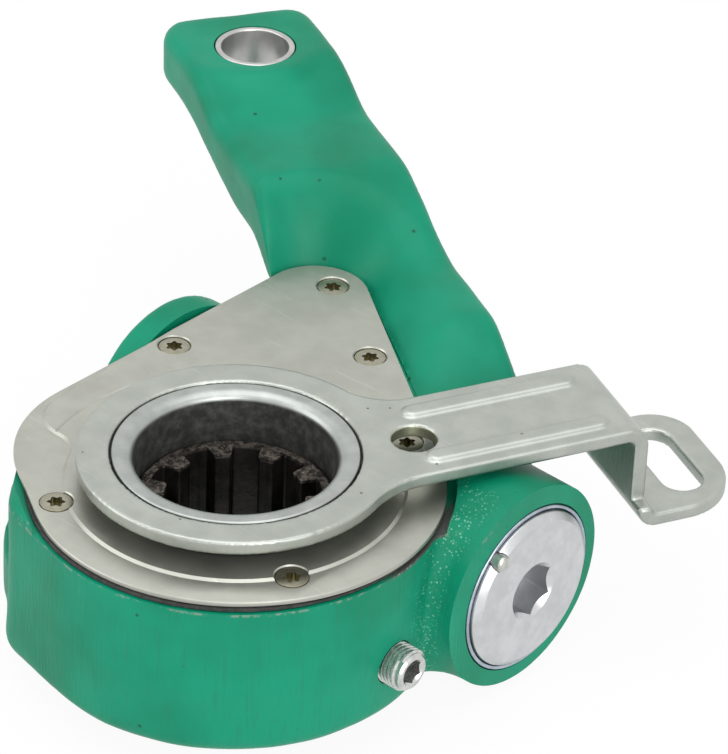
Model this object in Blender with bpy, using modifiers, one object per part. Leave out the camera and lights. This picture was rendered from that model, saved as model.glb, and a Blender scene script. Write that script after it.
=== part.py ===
# Brake slack adjuster: an automatic worm-type lever for an air-braked axle.
# Z is the camshaft axis, and Z = 0 is the lower face of the housing's round head.
# The worm shaft runs parallel to X beside the worm wheel; the lever arm reaches towards -X +Y.

import math

import bmesh
import bpy
from mathutils import Matrix

MM = 0.001

# Clearances
SEAT = 0.3 * MM
RUN = 0.3 * MM

# Cover outline, a belt round three discs: (x, y, radius)
COVER_DISCS = (
    (-20.0 * MM, -2.6 * MM, 31.5 * MM),
    (0.0, 0.0, 45.2 * MM),
    (-40.4 * MM, 68.0 * MM, 11.0 * MM),
)
COVER_THICKNESS = 1.5 * MM
COVER_RAISE = 0.5 * MM
FIELD_R = 36.6 * MM
FIELD_HOLLOW_R = 8.0 * MM
FIELD_HOLLOW_TURN = math.radians(42.0)
FIELD_LOBE = (-40.0 * MM, -5.4 * MM, 9.2 * MM)
FIELD_REACH = 2.0 * MM
FIELD_EDGE_MARGIN = 0.6 * MM
FIELD_PIECES = (18, 4, 3, 4, 5, 5)
GASKET_THICKNESS = 0.5 * MM

# Housing head
HEAD_HEIGHT = 36.8 * MM
HEAD_TOP_DISCS = (
    (-20.0 * MM, -2.6 * MM, 31.2 * MM),
    (-23.5 * MM, -32.0 * MM, 8.7 * MM),
    (0.0, 0.0, 45.4 * MM),
    (-40.4 * MM, 68.0 * MM, 11.2 * MM),
)
HEAD_FOOT_DISCS = (
    (-20.0 * MM, -2.6 * MM, 32.6 * MM),
    (-23.5 * MM, -32.0 * MM, 9.6 * MM),
    (-0.4 * MM, -0.5 * MM, 45.0 * MM),
    (-40.4 * MM, 67.0 * MM, 11.2 * MM),
)
HEAD_WAIST = (0.0, 0.0, 0.8 * MM, 0.0)
HEAD_WAIST_Z = 17.0 * MM
HEAD_PIECES = (5, 4, 24, 9)
BULGE_R = 33.8 * MM
BULGE_TOP_Z = 15.5 * MM
HEAD_EDGE_R = 4.0 * MM
FACE_CUT_MARGINS = (2.0 * MM, 2.9 * MM, 0.8 * MM)
BELT_PIECES = (12, 24, 9)
FLOOR_THICKNESS = 6.0 * MM

# Worm gearing
WHEEL_MODULE = 2.5 * MM
WHEEL_TEETH = 22
WHEEL_FACE_WIDTH = 20.0 * MM
WHEEL_CLEARANCE = 1.8 * MM
WORM_PITCH_R = 11.6 * MM
WORM_LENGTH = 37.2 * MM
WORM_TURNS = 4
GEAR_BACKLASH = 0.9 * MM
PRESSURE_ANGLE = math.radians(20.0)
WORM_AXIS_Z = 17.0 * MM

# Worm wheel hub
SPLINE_TEETH = 10
SPLINE_ROOT_R = 18.9 * MM
SPLINE_TIP_R = 15.1 * MM
SPLINE_TOOTH_BASE = 5.6 * MM
SPLINE_TOOTH_TIP = 3.6 * MM
JOURNAL_LOW_R = 24.7 * MM
JOURNAL_TOP_R = 21.4 * MM
WHEEL_TOP_Z = 35.5 * MM
WHEEL_BOTTOM_Z = 0.4 * MM
LOWER_SEAL_R = 28.2 * MM
LOWER_SEAL_WIDTH = 3.0 * MM

# Worm barrel and its boss
BARREL_R = 23.3 * MM
BARREL_END_X = -60.0 * MM
BARREL_EDGE_R = 1.0 * MM
BARREL_SHIFT_Y = -0.9 * MM
BOSS_R = 24.7 * MM
BOSS_BACK_X = 36.0 * MM
BOSS_TAPER_X = 18.0 * MM
BOSS_FACE_X = 49.9 * MM
BOSS_EDGE_R = 0.8 * MM
BOSS_FLARE_R = 10.0 * MM
BOSS_FLARE_SETBACK = 6.0 * MM
WORM_BORE_R = 14.5 * MM

# Worm shaft train, along X
SHAFT_R = 7.2 * MM
SHAFT_END_X = 34.8 * MM
HEX_ACROSS_FLATS = 12.0 * MM
HEX_LENGTH = 5.2 * MM
BEARING_WIDTH = 4.0 * MM
SPRING_SEAT_WIDTH = 2.0 * MM
PRESSURE_WIRE_R = 1.3 * MM
PRESSURE_COIL_R = 11.6 * MM
PRESSURE_TURNS = 2
REAR_SEAL_R = 11.0 * MM
REAR_SEAL_WIDTH = 3.5 * MM

# End cap
CAP_INNER_X = 36.0 * MM
CAP_THREAD_R = 17.4 * MM
CAP_RIM_R = 18.3 * MM
CAP_FACE_R = 16.7 * MM
CAP_FACE_X = 51.9 * MM
CAP_CHAMFER = 1.3 * MM
CAP_SOCKET_FLATS = 11.4 * MM
CAP_SOCKET_DEPTH = 9.0 * MM
CAP_SOCKET_MOUTH_R = 7.4 * MM
SEAL_OUTER_R = 19.5 * MM
SEAL_WIDTH = 1.8 * MM
LOCK_PIN_R = 1.9 * MM
LOCK_PIN_LENGTH = 9.0 * MM
LOCK_PIN_PROUD = 3.0 * MM
LOCK_PIN_ANGLE = math.radians(131.0)

# Rack drive
RACK_MODULE = 1.5 * MM
PINION_TEETH = 16
RACK_BACKLASH = 0.7 * MM
RACK_CLEARANCE = 3.5 * MM
RACK_WIDTH = 6.5 * MM
RACK_BACK_Z = 36.3 * MM
RACK_LOW_Y = -4.0 * MM
RACK_HIGH_Y = 48.0 * MM
RACK_TEETH = 6
RACK_TOE_WIDTH = 4.0 * MM
RACK_TOE_CLEARANCE = 0.7 * MM
RACK_TRAVEL_UP = 13.0 * MM
RACK_TRAVEL_DOWN = 3.8 * MM
RACK_CHANNEL_END_Y = 68.4 * MM
RACK_SPRING_WIRE_R = 0.5 * MM
RACK_SPRING_COIL_R = 2.4 * MM
RACK_SPRING_TURNS = 4
SLEEVE_R = 9.2 * MM
CLUTCH_WIRE_R = 0.9 * MM
CLUTCH_COIL_R = 11.2 * MM
CLUTCH_TURNS = 5
CLUTCH_RING_R = 13.6 * MM
CLUTCH_RING_WIDTH = 2.4 * MM
PINION_SLEEVE = 7.3 * MM

# Control arm, in its own frame: u runs along the strip and n to the strip's right
ARM_RING_R = 33.9 * MM
ARM_RING_TOP_Z = 46.7 * MM
STRIP_THICKNESS = 3.0 * MM
STRIP_ANGLE = math.radians(65.5)
STRIP_HALF_WIDTH = 14.1 * MM
STRIP_OFFSET = 7.8 * MM
STRIP_FILLET_LEFT = 14.0 * MM
STRIP_FILLET_RIGHT = 22.0 * MM
STEP_FACE_U = 87.0 * MM
STEP_BEND_R = 1.4 * MM
FLANGE_TOP_Z = 26.7 * MM
FLANGE_END_U = 110.3 * MM
FLANGE_OFFSET = 8.0 * MM
FLANGE_HALF_WIDTH = 18.3 * MM
FLANGE_LEFT_CORNER_R = 9.5 * MM
FLANGE_RIGHT_CORNER_R = 14.0 * MM
FLANGE_BACK_R = 2.0 * MM
FLANGE_FOOT_HEIGHT = 1.8 * MM
SLOT_CENTRE_U = 99.4 * MM
SLOT_HALF_LENGTH = 12.4 * MM
SLOT_R = 4.9 * MM
ACCESS_HOLE_XY = (23.3 * MM, 30.7 * MM)
ACCESS_HOLE_R = 5.1 * MM
RIBS = ((-0.8 * MM, 41.0 * MM), (16.6 * MM, 39.2 * MM))
RIB_END_U = 77.5 * MM
RIB_HALF_WIDTH = 2.1 * MM
RIB_HEIGHT = 0.9 * MM

# Control hub and disc
HUB_CLEARANCE = 0.4 * MM
HUB_WALL = 2.6 * MM
HUB_FLANGE_WIDTH = 2.1 * MM
HUB_COLLAR_WIDTH = 2.0 * MM
HUB_COLLAR_THICKNESS = 1.4 * MM
HUB_LIP_Z = 45.75 * MM
HUB_BOTTOM_Z = 31.0 * MM
DISC_WIDTH = 8.4 * MM
DISC_CLEARANCE = 0.5 * MM
DISC_LOW_Z = 31.5 * MM
DISC_THICKNESS = 3.0 * MM
DISC_NOTCH_WIDTH = 8.4 * MM
DISC_NOTCH_WALL = 1.9 * MM

# Lever arm, in its own frame: s runs along the arm and n across it
ARM_ANGLE = math.radians(154.5)
ARM_CENTRE_N = 56.1 * MM
ARM_WIDTH = 37.6 * MM
ARM_START_S = 10.0 * MM
ARM_END_S = 156.0 * MM
ARM_THICKNESS = 13.2 * MM
ARM_EDGE_R = 2.5 * MM
ARM_CORNER_R = 7.5 * MM
ARM_ROOT_TOP_Z = 36.0 * MM
ARM_BASE_TOP_Z = 45.6 * MM
ARM_MID_TOP_Z = 55.3 * MM
ARM_END_TOP_Z = 62.4 * MM
ARM_ROOT_LOW_Z = 4.0 * MM
ARM_ROOT_RAMP_S = (14.0 * MM, 37.0 * MM)
ARM_FIRST_CRANK_S = (56.0 * MM, 90.0 * MM)
ARM_SECOND_CRANK_S = (102.0 * MM, 147.5 * MM)
ARM_UNDER_RAMP_S = (44.0 * MM, 92.0 * MM)
LEVER_LENGTH = 150.0 * MM
LEVER_ANGLE = math.radians(132.5)
BUSH_OUTER_R = 9.6 * MM
BUSH_INNER_R = 8.1 * MM

# Fasteners and plug
SCREW_SPOTS = (
    (-38.9 * MM, 72.1 * MM),
    (-46.5 * MM, 28.4 * MM),
    (-12.8 * MM, 56.4 * MM),
    (-21.0 * MM, -32.6 * MM),
    (32.6 * MM, -16.8 * MM),
    (15.8 * MM, 37.1 * MM),
)
SCREW_HEAD_R = 3.5 * MM
SCREW_SHANK_R = 2.0 * MM
SCREW_LENGTH = 5.4 * MM
SCREW_SOCKET_R = 1.5 * MM
SCREW_SOCKET_DEPTH = 1.0 * MM
PLUG_R = 4.9 * MM
PLUG_Y = 2.0 * MM
PLUG_Z = 14.1 * MM
PLUG_END_X = 50.8 * MM
PLUG_LENGTH = 17.5 * MM
PLUG_SOCKET_FLATS = 5.0 * MM
PLUG_SOCKET_DEPTH = 6.0 * MM

# Values worked out from the ones above
GASKET_LOW_Z = HEAD_HEIGHT + SEAT
COVER_LOW_Z = GASKET_LOW_Z + GASKET_THICKNESS + SEAT
COVER_TOP_Z = COVER_LOW_Z + COVER_THICKNESS
HUB_BORE_R = JOURNAL_TOP_R + HUB_CLEARANCE
HUB_NECK_R = HUB_BORE_R + HUB_WALL
HUB_FLANGE_R = HUB_NECK_R + HUB_FLANGE_WIDTH
HUB_COLLAR_R = HUB_FLANGE_R + HUB_COLLAR_WIDTH
COVER_BORE_R = HUB_NECK_R + SEAT
DISC_NOTCH_FLOOR_R = HUB_NECK_R + DISC_NOTCH_WALL
RACK_TOE_X = -DISC_NOTCH_FLOOR_R - RACK_TOE_CLEARANCE
WHEEL_PITCH_R = WHEEL_MODULE * WHEEL_TEETH / 2
WORM_AXIS_Y = WHEEL_PITCH_R + WORM_PITCH_R
WORM_LEAD = math.pi * WHEEL_MODULE
WHEEL_TIP_R = WHEEL_PITCH_R + WHEEL_MODULE
CAVITY_R = WHEEL_TIP_R + WHEEL_CLEARANCE
DISC_R = HUB_NECK_R + DISC_WIDTH
DISC_CAVITY_R = DISC_R + DISC_CLEARANCE
RACK_X = -DISC_R - RACK_CLEARANCE - RACK_WIDTH / 2
RACK_PITCH_R = RACK_MODULE * PINION_TEETH / 2
RACK_PITCH_Z = WORM_AXIS_Z + RACK_PITCH_R
RACK_PITCH = math.pi * RACK_MODULE
ARM_LOW_Z = ARM_RING_TOP_Z - STRIP_THICKNESS
BUSH_X = LEVER_LENGTH * math.cos(LEVER_ANGLE)
BUSH_Y = LEVER_LENGTH * math.sin(LEVER_ANGLE)
LOCK_PIN_Y = WORM_AXIS_Y + (CAP_FACE_R + SEAT) * math.cos(LOCK_PIN_ANGLE)
LOCK_PIN_Z = WORM_AXIS_Z + (CAP_FACE_R + SEAT) * math.sin(LOCK_PIN_ANGLE)

AXIS_X = (0.0, math.pi / 2, 0.0)
PROFILE_YZ = (math.pi / 2, 0.0, math.pi / 2)
OVERRUN = 2.0 * MM


# Scene, collections and materials

def start_scene():
    for old in list(bpy.data.objects):
        bpy.data.objects.remove(old, do_unlink=True)
    parts = bpy.data.collections.new("brake_slack_adjuster")
    cutters = bpy.data.collections.new("cutters")
    bpy.context.scene.collection.children.link(parts)
    bpy.context.scene.collection.children.link(cutters)
    return parts, cutters


def make_material(name, colour, roughness, metallic):
    material = bpy.data.materials.new(name)
    material.use_nodes = True
    shader = material.node_tree.nodes["Principled BSDF"]
    shader.inputs["Base Color"].default_value = (*colour, 1.0)
    shader.inputs["Roughness"].default_value = roughness
    shader.inputs["Metallic"].default_value = metallic
    return material


def add_object(name, mesh, material=None, location=(0, 0, 0), rotation=(0, 0, 0)):
    thing = bpy.data.objects.new(name, mesh)
    thing.location = location
    thing.rotation_euler = rotation
    if material is None:
        CUTTERS.objects.link(thing)
        thing.hide_render = True
        thing.display_type = "WIRE"
    else:
        PARTS.objects.link(thing)
        mesh.materials.append(material)
    return thing


# Outlines

def arc(centre, radius, start, end, steps):
    points = []
    for i in range(steps + 1):
        angle = start + (end - start) * i / steps
        points.append((centre[0] + radius * math.cos(angle), centre[1] + radius * math.sin(angle)))
    return points


def circle(centre, radius, steps):
    return arc(centre, radius, 0.0, 2 * math.pi, steps)[:-1]


def belt(discs, pieces=BELT_PIECES):
    """Outline of a belt round discs listed counter-clockwise; a negative radius is a hollow corner."""
    count = len(discs)
    leave = []
    for i in range(count):
        x0, y0, r0 = discs[i]
        x1, y1, r1 = discs[(i + 1) % count]
        heading = math.atan2(y1 - y0, x1 - x0)
        distance = math.hypot(x1 - x0, y1 - y0)
        leave.append(heading - math.acos(max(-1.0, min(1.0, (r0 - r1) / distance))))
    points = []
    for i in range(count):
        x, y, radius = discs[i]
        start = leave[i - 1]
        end = leave[i]
        turn = (end - start) % (2 * math.pi)
        if radius < 0.0:
            turn -= 2 * math.pi
        points += arc((x, y), radius, start, start + turn, pieces[i])
    return points


def grown(discs, amounts):
    return [(x, y, r + a) for (x, y, r), a in zip(discs, amounts)]


def gear_outline(module, teeth, backlash, root_depth, phase):
    """Straight-flanked teeth on a pitch circle, with a tooth centred at the phase angle."""
    pitch_r = module * teeth / 2
    half_pitch = math.pi * module / 4 - backlash / 4
    slope = math.tan(PRESSURE_ANGLE)
    levels = (
        (pitch_r - root_depth, half_pitch + root_depth * slope),
        (pitch_r, half_pitch),
        (pitch_r + module, half_pitch - module * slope),
    )
    points = []
    for i in range(teeth):
        middle = phase + 2 * math.pi * i / teeth
        for radius, half in levels:
            points.append((radius, middle - half / radius))
        for radius, half in reversed(levels):
            points.append((radius, middle + half / radius))
    return [(r * math.cos(a), r * math.sin(a)) for r, a in points]


def spline_outline():
    points = []
    for i in range(SPLINE_TEETH):
        middle = 2 * math.pi * i / SPLINE_TEETH
        gap = 2 * math.pi / SPLINE_TEETH - SPLINE_TOOTH_BASE / SPLINE_ROOT_R
        for radius, half in ((SPLINE_ROOT_R, SPLINE_TOOTH_BASE / 2), (SPLINE_TIP_R, SPLINE_TOOTH_TIP / 2)):
            points.append((radius, middle - half / radius))
        points.append((SPLINE_TIP_R, middle + SPLINE_TOOTH_TIP / 2 / SPLINE_TIP_R))
        for share in (0.0, 0.5):
            points.append((SPLINE_ROOT_R, middle + SPLINE_TOOTH_BASE / 2 / SPLINE_ROOT_R + gap * share))
    return [(r * math.cos(a), r * math.sin(a)) for r, a in points]


def hexagon(across_flats):
    return circle((0.0, 0.0), across_flats / math.sqrt(3.0), 6)


# Solids

def finish_mesh(name, bm, smooth=True):
    bmesh.ops.remove_doubles(bm, verts=bm.verts, dist=1e-6)
    bmesh.ops.recalc_face_normals(bm, faces=bm.faces)
    mesh = bpy.data.meshes.new(name)
    bm.to_mesh(mesh)
    bm.free()
    if smooth:
        mesh.shade_smooth()
        mesh.set_sharp_from_angle(angle=math.radians(32))
    return mesh


def extruded(outline, low, high, twist=0.0):
    """A bmesh prism of an outline in XY between two heights, turned by twist from low to high."""
    bm = bmesh.new()
    bottom = bm.faces.new([bm.verts.new((x, y, low)) for x, y in outline])
    raised = bmesh.ops.extrude_face_region(bm, geom=[bottom])
    verts = [g for g in raised["geom"] if isinstance(g, bmesh.types.BMVert)]
    bmesh.ops.translate(bm, verts=verts, vec=(0, 0, high - low))
    if twist:
        bmesh.ops.rotate(bm, verts=verts, matrix=Matrix.Rotation(twist, 3, "Z"))
    return bm


def lofted(sections):
    """A bmesh solid through outlines with equal point counts: (outline, height) from low to high."""
    bm = bmesh.new()
    rings = [[bm.verts.new((x, y, z)) for x, y in outline] for outline, z in sections]
    count = len(rings[0])
    bm.faces.new(rings[0])
    bm.faces.new(rings[-1])
    for lower, upper in zip(rings, rings[1:]):
        for i in range(count):
            j = (i + 1) % count
            bm.faces.new((lower[i], lower[j], upper[j], upper[i]))
    return bm


def round_edges(bm, chosen, radius, segments):
    edges = [e for e in bm.edges if chosen(e)]
    bmesh.ops.bevel(bm, geom=edges, offset=radius, segments=segments, profile=0.5,
                    affect="EDGES", material=-1)


def at_height(z):
    return lambda edge: all(abs(v.co.z - z) < 1e-6 for v in edge.verts)


def prism(name, outline, low, high, material=None, location=(0, 0, 0), rotation=(0, 0, 0)):
    bm = extruded(outline, low, high)
    return add_object(name, finish_mesh(name, bm), material, location, rotation)


def turned(name, profile, material=None, location=(0, 0, 0), rotation=(0, 0, 0), steps=48):
    """A turned solid. The profile is (radius, height) points: down the outside, up the inside."""
    bm = bmesh.new()
    verts = [bm.verts.new((r, 0.0, z)) for r, z in profile]
    for first, second in zip(verts, verts[1:]):
        bm.edges.new((first, second))
    if profile[0][0] > 0.0:
        bm.edges.new((verts[-1], verts[0]))
    mesh = bpy.data.meshes.new(name)
    bm.to_mesh(mesh)
    bm.free()
    thing = add_object(name, mesh, material, location, rotation)
    screw = thing.modifiers.new("turn", "SCREW")
    screw.axis = "Z"
    screw.steps = steps
    screw.render_steps = steps
    screw.use_merge_vertices = True
    screw.merge_threshold = 0.00001
    screw.use_smooth_shade = False
    return thing


def tube(inner, outer, low, high):
    return [(outer, high), (outer, low), (inner, low), (inner, high)]


def rod(radius, low, high, chamfer=0.0):
    if chamfer:
        return [(0.0, high), (radius - chamfer, high), (radius, high - chamfer),
                (radius, low + chamfer), (radius - chamfer, low), (0.0, low)]
    return [(0.0, high), (radius, high), (radius, low), (0.0, low)]


def combine(thing, other, operation):
    step = thing.modifiers.new(operation.lower(), "BOOLEAN")
    step.operation = operation
    step.solver = "EXACT"
    step.object = other


def cut(thing, *others):
    for other in others:
        combine(thing, other, "DIFFERENCE")


def join(thing, *others):
    for other in others:
        combine(thing, other, "UNION")


def weld(thing):
    step = thing.modifiers.new("weld", "WELD")
    step.merge_threshold = 0.00002


def coil(name, material, wire_r, coil_r, start, length, turns, rotation, location):
    """A round-wire spring along its own Z from start, with its wire's axis inside the length."""
    points_per_turn = 9
    count = int(turns * points_per_turn) + 1
    curve = bpy.data.curves.new(name, "CURVE")
    curve.dimensions = "3D"
    curve.bevel_depth = wire_r
    curve.bevel_resolution = 1
    curve.use_fill_caps = True
    line = curve.splines.new("POLY")
    line.points.add(count - 1)
    reach = length - 2 * wire_r
    for i, point in enumerate(line.points):
        angle = 2 * math.pi * i / points_per_turn
        z = start + wire_r + reach * i / (count - 1)
        point.co = (coil_r * math.cos(angle), coil_r * math.sin(angle), z, 1.0)
    guide = bpy.data.objects.new(name + "_guide", curve)
    bpy.context.scene.collection.objects.link(guide)
    mesh = bpy.data.meshes.new_from_object(guide.evaluated_get(bpy.context.evaluated_depsgraph_get()))
    bpy.data.objects.remove(guide, do_unlink=True)
    mesh.materials.clear()
    bm = bmesh.new()
    bm.from_mesh(mesh)
    bpy.data.meshes.remove(mesh)
    return add_object(name, finish_mesh(name, bm), material, location, rotation)


# Housing

def smooth_step(value, start, end):
    t = min(1.0, max(0.0, (value - start) / (end - start)))
    return t * t * (3 - 2 * t)


def arm_top(s):
    root = (ARM_BASE_TOP_Z - ARM_ROOT_TOP_Z) * smooth_step(s, *ARM_ROOT_RAMP_S)
    first = (ARM_MID_TOP_Z - ARM_BASE_TOP_Z) * smooth_step(s, *ARM_FIRST_CRANK_S)
    second = (ARM_END_TOP_Z - ARM_MID_TOP_Z) * smooth_step(s, *ARM_SECOND_CRANK_S)
    return ARM_ROOT_TOP_Z + root + first + second


def arm_under(s):
    middle = ARM_MID_TOP_Z - ARM_THICKNESS
    ramp = (middle - ARM_ROOT_LOW_Z) * smooth_step(s, *ARM_UNDER_RAMP_S)
    second = (ARM_END_TOP_Z - ARM_MID_TOP_Z) * smooth_step(s, *ARM_SECOND_CRANK_S)
    return ARM_ROOT_LOW_Z + ramp + second


def stations(*spans):
    """Places along the arm where its profile bends, with four steps in each ramp."""
    places = {ARM_START_S, ARM_END_S}
    for start, end in spans:
        places.update(start + (end - start) * i / 6 for i in range(7))
    return sorted(places)


def arm_blank():
    top = [(s, arm_top(s)) for s in stations(ARM_ROOT_RAMP_S, ARM_FIRST_CRANK_S, ARM_SECOND_CRANK_S)]
    under = [(s, arm_under(s)) for s in stations(ARM_UNDER_RAMP_S, ARM_SECOND_CRANK_S)]
    low = ARM_CENTRE_N - ARM_WIDTH / 2
    high = ARM_CENTRE_N + ARM_WIDTH / 2
    bm = extruded(under + top[::-1], low, high)
    bmesh.ops.recalc_face_normals(bm, faces=bm.faces)
    round_edges(bm, lambda e: all(abs(v.co.x - ARM_END_S) < 1e-6 for v in e.verts)
                and abs(e.verts[0].co.y - e.verts[1].co.y) > 1e-4, ARM_CORNER_R, 5)
    rims = [f for f in bm.faces if len(f.verts) > 6]
    edges = {e for f in rims for e in f.edges if e.calc_face_angle(0.0) > math.radians(40)}
    bmesh.ops.bevel(bm, geom=list(edges), offset=ARM_EDGE_R, segments=2, profile=0.5,
                    affect="EDGES", material=-1)
    return add_object("arm_blank", finish_mesh("arm_blank", bm), rotation=(math.pi / 2, 0, ARM_ANGLE))


def barrel():
    """The worm's barrel with its boss round the cap, in one turned piece."""
    place = (0, WORM_AXIS_Y + BARREL_SHIFT_Y, WORM_AXIS_Z)
    profile = [
        (0.0, BOSS_FACE_X), (BOSS_R - BOSS_EDGE_R, BOSS_FACE_X), (BOSS_R, BOSS_FACE_X - BOSS_EDGE_R),
        (BOSS_R, BOSS_BACK_X), (BARREL_R, BOSS_TAPER_X), (BARREL_R, BARREL_END_X + BARREL_EDGE_R),
        (BARREL_R - BARREL_EDGE_R, BARREL_END_X), (0.0, BARREL_END_X),
    ]
    return turned("barrel", profile, None, place, AXIS_X, 40)


def boss_flare():
    """The hollow fillet that leads from the head's wall to the boss face, on the head's side only."""
    rim_x = BOSS_FACE_X - 1.2 * MM
    outer = BOSS_R + BOSS_FLARE_R
    curve = arc((outer, rim_x), BOSS_FLARE_R, math.pi, 1.5 * math.pi, 5)
    root = BOSS_R - 3.0 * MM
    profile = [(root, rim_x)] + curve + [(outer, BOSS_TAPER_X), (root, BOSS_TAPER_X)]
    place = (0, WORM_AXIS_Y + BARREL_SHIFT_Y, WORM_AXIS_Z)
    flare = turned("boss_flare", profile, None, place, AXIS_X, 40)
    keep = box("flare_keep", (BOSS_TAPER_X - OVERRUN, -BOSS_R, HEAD_EDGE_R * 0.7),
               (BOSS_FACE_X, WORM_AXIS_Y - BOSS_FLARE_SETBACK, HEAD_HEIGHT + OVERRUN))
    combine(flare, keep, "INTERSECT")
    return flare


def worm_line():
    """The housing's stepped bore along the worm: rear seal, shaft, train, cap and cap ring."""
    levels = (
        (REAR_SEAL_R + SEAT, BARREL_END_X - OVERRUN, BARREL_END_X + REAR_SEAL_WIDTH + 2 * SEAT),
        (SHAFT_R + RUN, None, RACK_X - RACK_WIDTH / 2 - SEAT),
        (WORM_BORE_R, None, CAP_INNER_X - SEAT),
        (CAP_THREAD_R + SEAT, None, BOSS_FACE_X - SEAL_WIDTH),
        (SEAL_OUTER_R + SEAT, None, BOSS_FACE_X + OVERRUN),
    )
    profile = [(0.0, levels[-1][2])]
    for radius, low, high in reversed(levels):
        profile.append((radius, high))
        profile.append((radius, low))
    for i in range(2, len(profile), 2):
        if profile[i][1] is None:
            profile[i] = (profile[i][0], profile[i + 1][1])
    profile.append((0.0, BARREL_END_X - OVERRUN))
    return turned("worm_line", profile, None, (0, WORM_AXIS_Y, WORM_AXIS_Z), AXIS_X, 36)


def box(name, low, high):
    outline = [(low[0], low[1]), (high[0], low[1]), (high[0], high[1]), (low[0], high[1])]
    return prism(name, outline, low[2], high[2])


def wheel_cavity():
    low_bore = JOURNAL_LOW_R + RUN
    seal_top = LOWER_SEAL_WIDTH + 2 * SEAT
    profile = [
        (0.0, COVER_TOP_Z), (DISC_CAVITY_R, COVER_TOP_Z), (DISC_CAVITY_R, HUB_BOTTOM_Z),
        (CAVITY_R, HUB_BOTTOM_Z), (CAVITY_R, FLOOR_THICKNESS), (low_bore, FLOOR_THICKNESS),
        (low_bore, seal_top), (LOWER_SEAL_R + SEAT, seal_top), (LOWER_SEAL_R + SEAT, -OVERRUN),
        (0.0, -OVERRUN),
    ]
    return turned("wheel_cavity", profile, steps=44)


def rack_channel():
    side = 0.4 * MM
    low_z = RACK_PITCH_Z - RACK_MODULE - side
    return box("rack_channel",
               (RACK_X - RACK_WIDTH / 2 - side, RACK_LOW_Y - RACK_TRAVEL_DOWN - side, low_z),
               (RACK_X + RACK_WIDTH / 2 + side, RACK_CHANNEL_END_Y, COVER_TOP_Z))


def toe_window():
    side = 0.5 * MM
    half = RACK_TOE_WIDTH / 2
    return box("toe_window",
               (RACK_X, -half - RACK_TRAVEL_DOWN - side, DISC_LOW_Z - side),
               (-CAVITY_R * 0.88, half + RACK_TRAVEL_UP + side, COVER_TOP_Z))


def screw_hole(name, radius, x, y):
    low = COVER_TOP_Z - SCREW_LENGTH - 2 * SEAT
    return turned(name, rod(radius, low, COVER_TOP_Z + OVERRUN), location=(x, y, 0), steps=12)


def lock_pin_hole():
    profile = rod(LOCK_PIN_R + SEAT, BOSS_FACE_X - LOCK_PIN_LENGTH, CAP_FACE_X + OVERRUN)
    return turned("lock_pin_hole", profile, location=(0, LOCK_PIN_Y, LOCK_PIN_Z), rotation=AXIS_X,
                  steps=12)


def cover_clearance():
    """The face cut round the cover, where the barrel and the arm's root stand above the head."""
    discs = grown(COVER_DISCS, FACE_CUT_MARGINS)
    return prism("cover_clearance", belt(discs), HEAD_HEIGHT, HEAD_HEIGHT + 30 * MM)


def housing_body():
    sections = []
    for i in range(4):
        angle = math.pi / 2 * i / 3
        inset = HEAD_EDGE_R * (1 - math.sin(angle))
        height = HEAD_EDGE_R * (1 - math.cos(angle))
        sections.append((belt(grown(HEAD_FOOT_DISCS, (-inset,) * 4), HEAD_PIECES), height))
    sections.append((belt(grown(HEAD_TOP_DISCS, HEAD_WAIST), HEAD_PIECES), HEAD_WAIST_Z))
    sections.append((belt(HEAD_TOP_DISCS, HEAD_PIECES), HEAD_HEIGHT))
    body = add_object("housing", finish_mesh("housing", lofted(sections)), PAINT)
    x, y, _ = HEAD_TOP_DISCS[0]
    bulge = turned("bulge", rod(BULGE_R, HEAD_EDGE_R, BULGE_TOP_Z, 1.5 * MM), location=(x, y, 0), steps=36)
    join(body, bulge, barrel(), arm_blank(), boss_flare())
    cut(body, cover_clearance(), wheel_cavity(), rack_channel(), toe_window())
    cut(body,
        lock_pin_hole(),
        worm_line(),
        turned("plug_hole", rod(PLUG_R + SEAT, PLUG_END_X - PLUG_LENGTH - SEAT, PLUG_END_X),
               location=(0, PLUG_Y, PLUG_Z), rotation=AXIS_X, steps=24),
        turned("bush_hole", rod(BUSH_OUTER_R + SEAT, ARM_END_TOP_Z - ARM_THICKNESS - OVERRUN,
                                ARM_END_TOP_Z + OVERRUN), location=(BUSH_X, BUSH_Y, 0), steps=24))
    weld(body)
    for i, (x, y) in enumerate(SCREW_SPOTS, 1):
        cut(body, screw_hole(f"screw_hole_{i}", SCREW_SHANK_R + SEAT, x, y))
    return body


# Cover, gasket, screws, plug and bush

def field_discs():
    """The cover's raised field: round the ring, up the right edge to the tip, and down to a lobe."""
    lobe_x, lobe_y, lobe_r = FIELD_LOBE
    reach = FIELD_R + FIELD_HOLLOW_R
    away = math.hypot(lobe_x, lobe_y)
    share = (reach ** 2 + away ** 2 - (lobe_r + FIELD_HOLLOW_R) ** 2) / (2 * reach * away)
    left_turn = math.atan2(lobe_y, lobe_x) + math.acos(max(-1.0, min(1.0, share)))
    right_turn = FIELD_HOLLOW_TURN
    beyond = COVER_DISCS[1][2] + 3 * FIELD_REACH
    tip_x, tip_y, tip_r = COVER_DISCS[2]
    return (
        (0.0, 0.0, FIELD_R),
        (reach * math.cos(right_turn), reach * math.sin(right_turn), -FIELD_HOLLOW_R),
        (beyond * math.cos(right_turn + 0.14), beyond * math.sin(right_turn + 0.14), FIELD_REACH),
        (tip_x, tip_y, tip_r + FIELD_REACH),
        FIELD_LOBE,
        (reach * math.cos(left_turn), reach * math.sin(left_turn), -FIELD_HOLLOW_R),
    )


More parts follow.
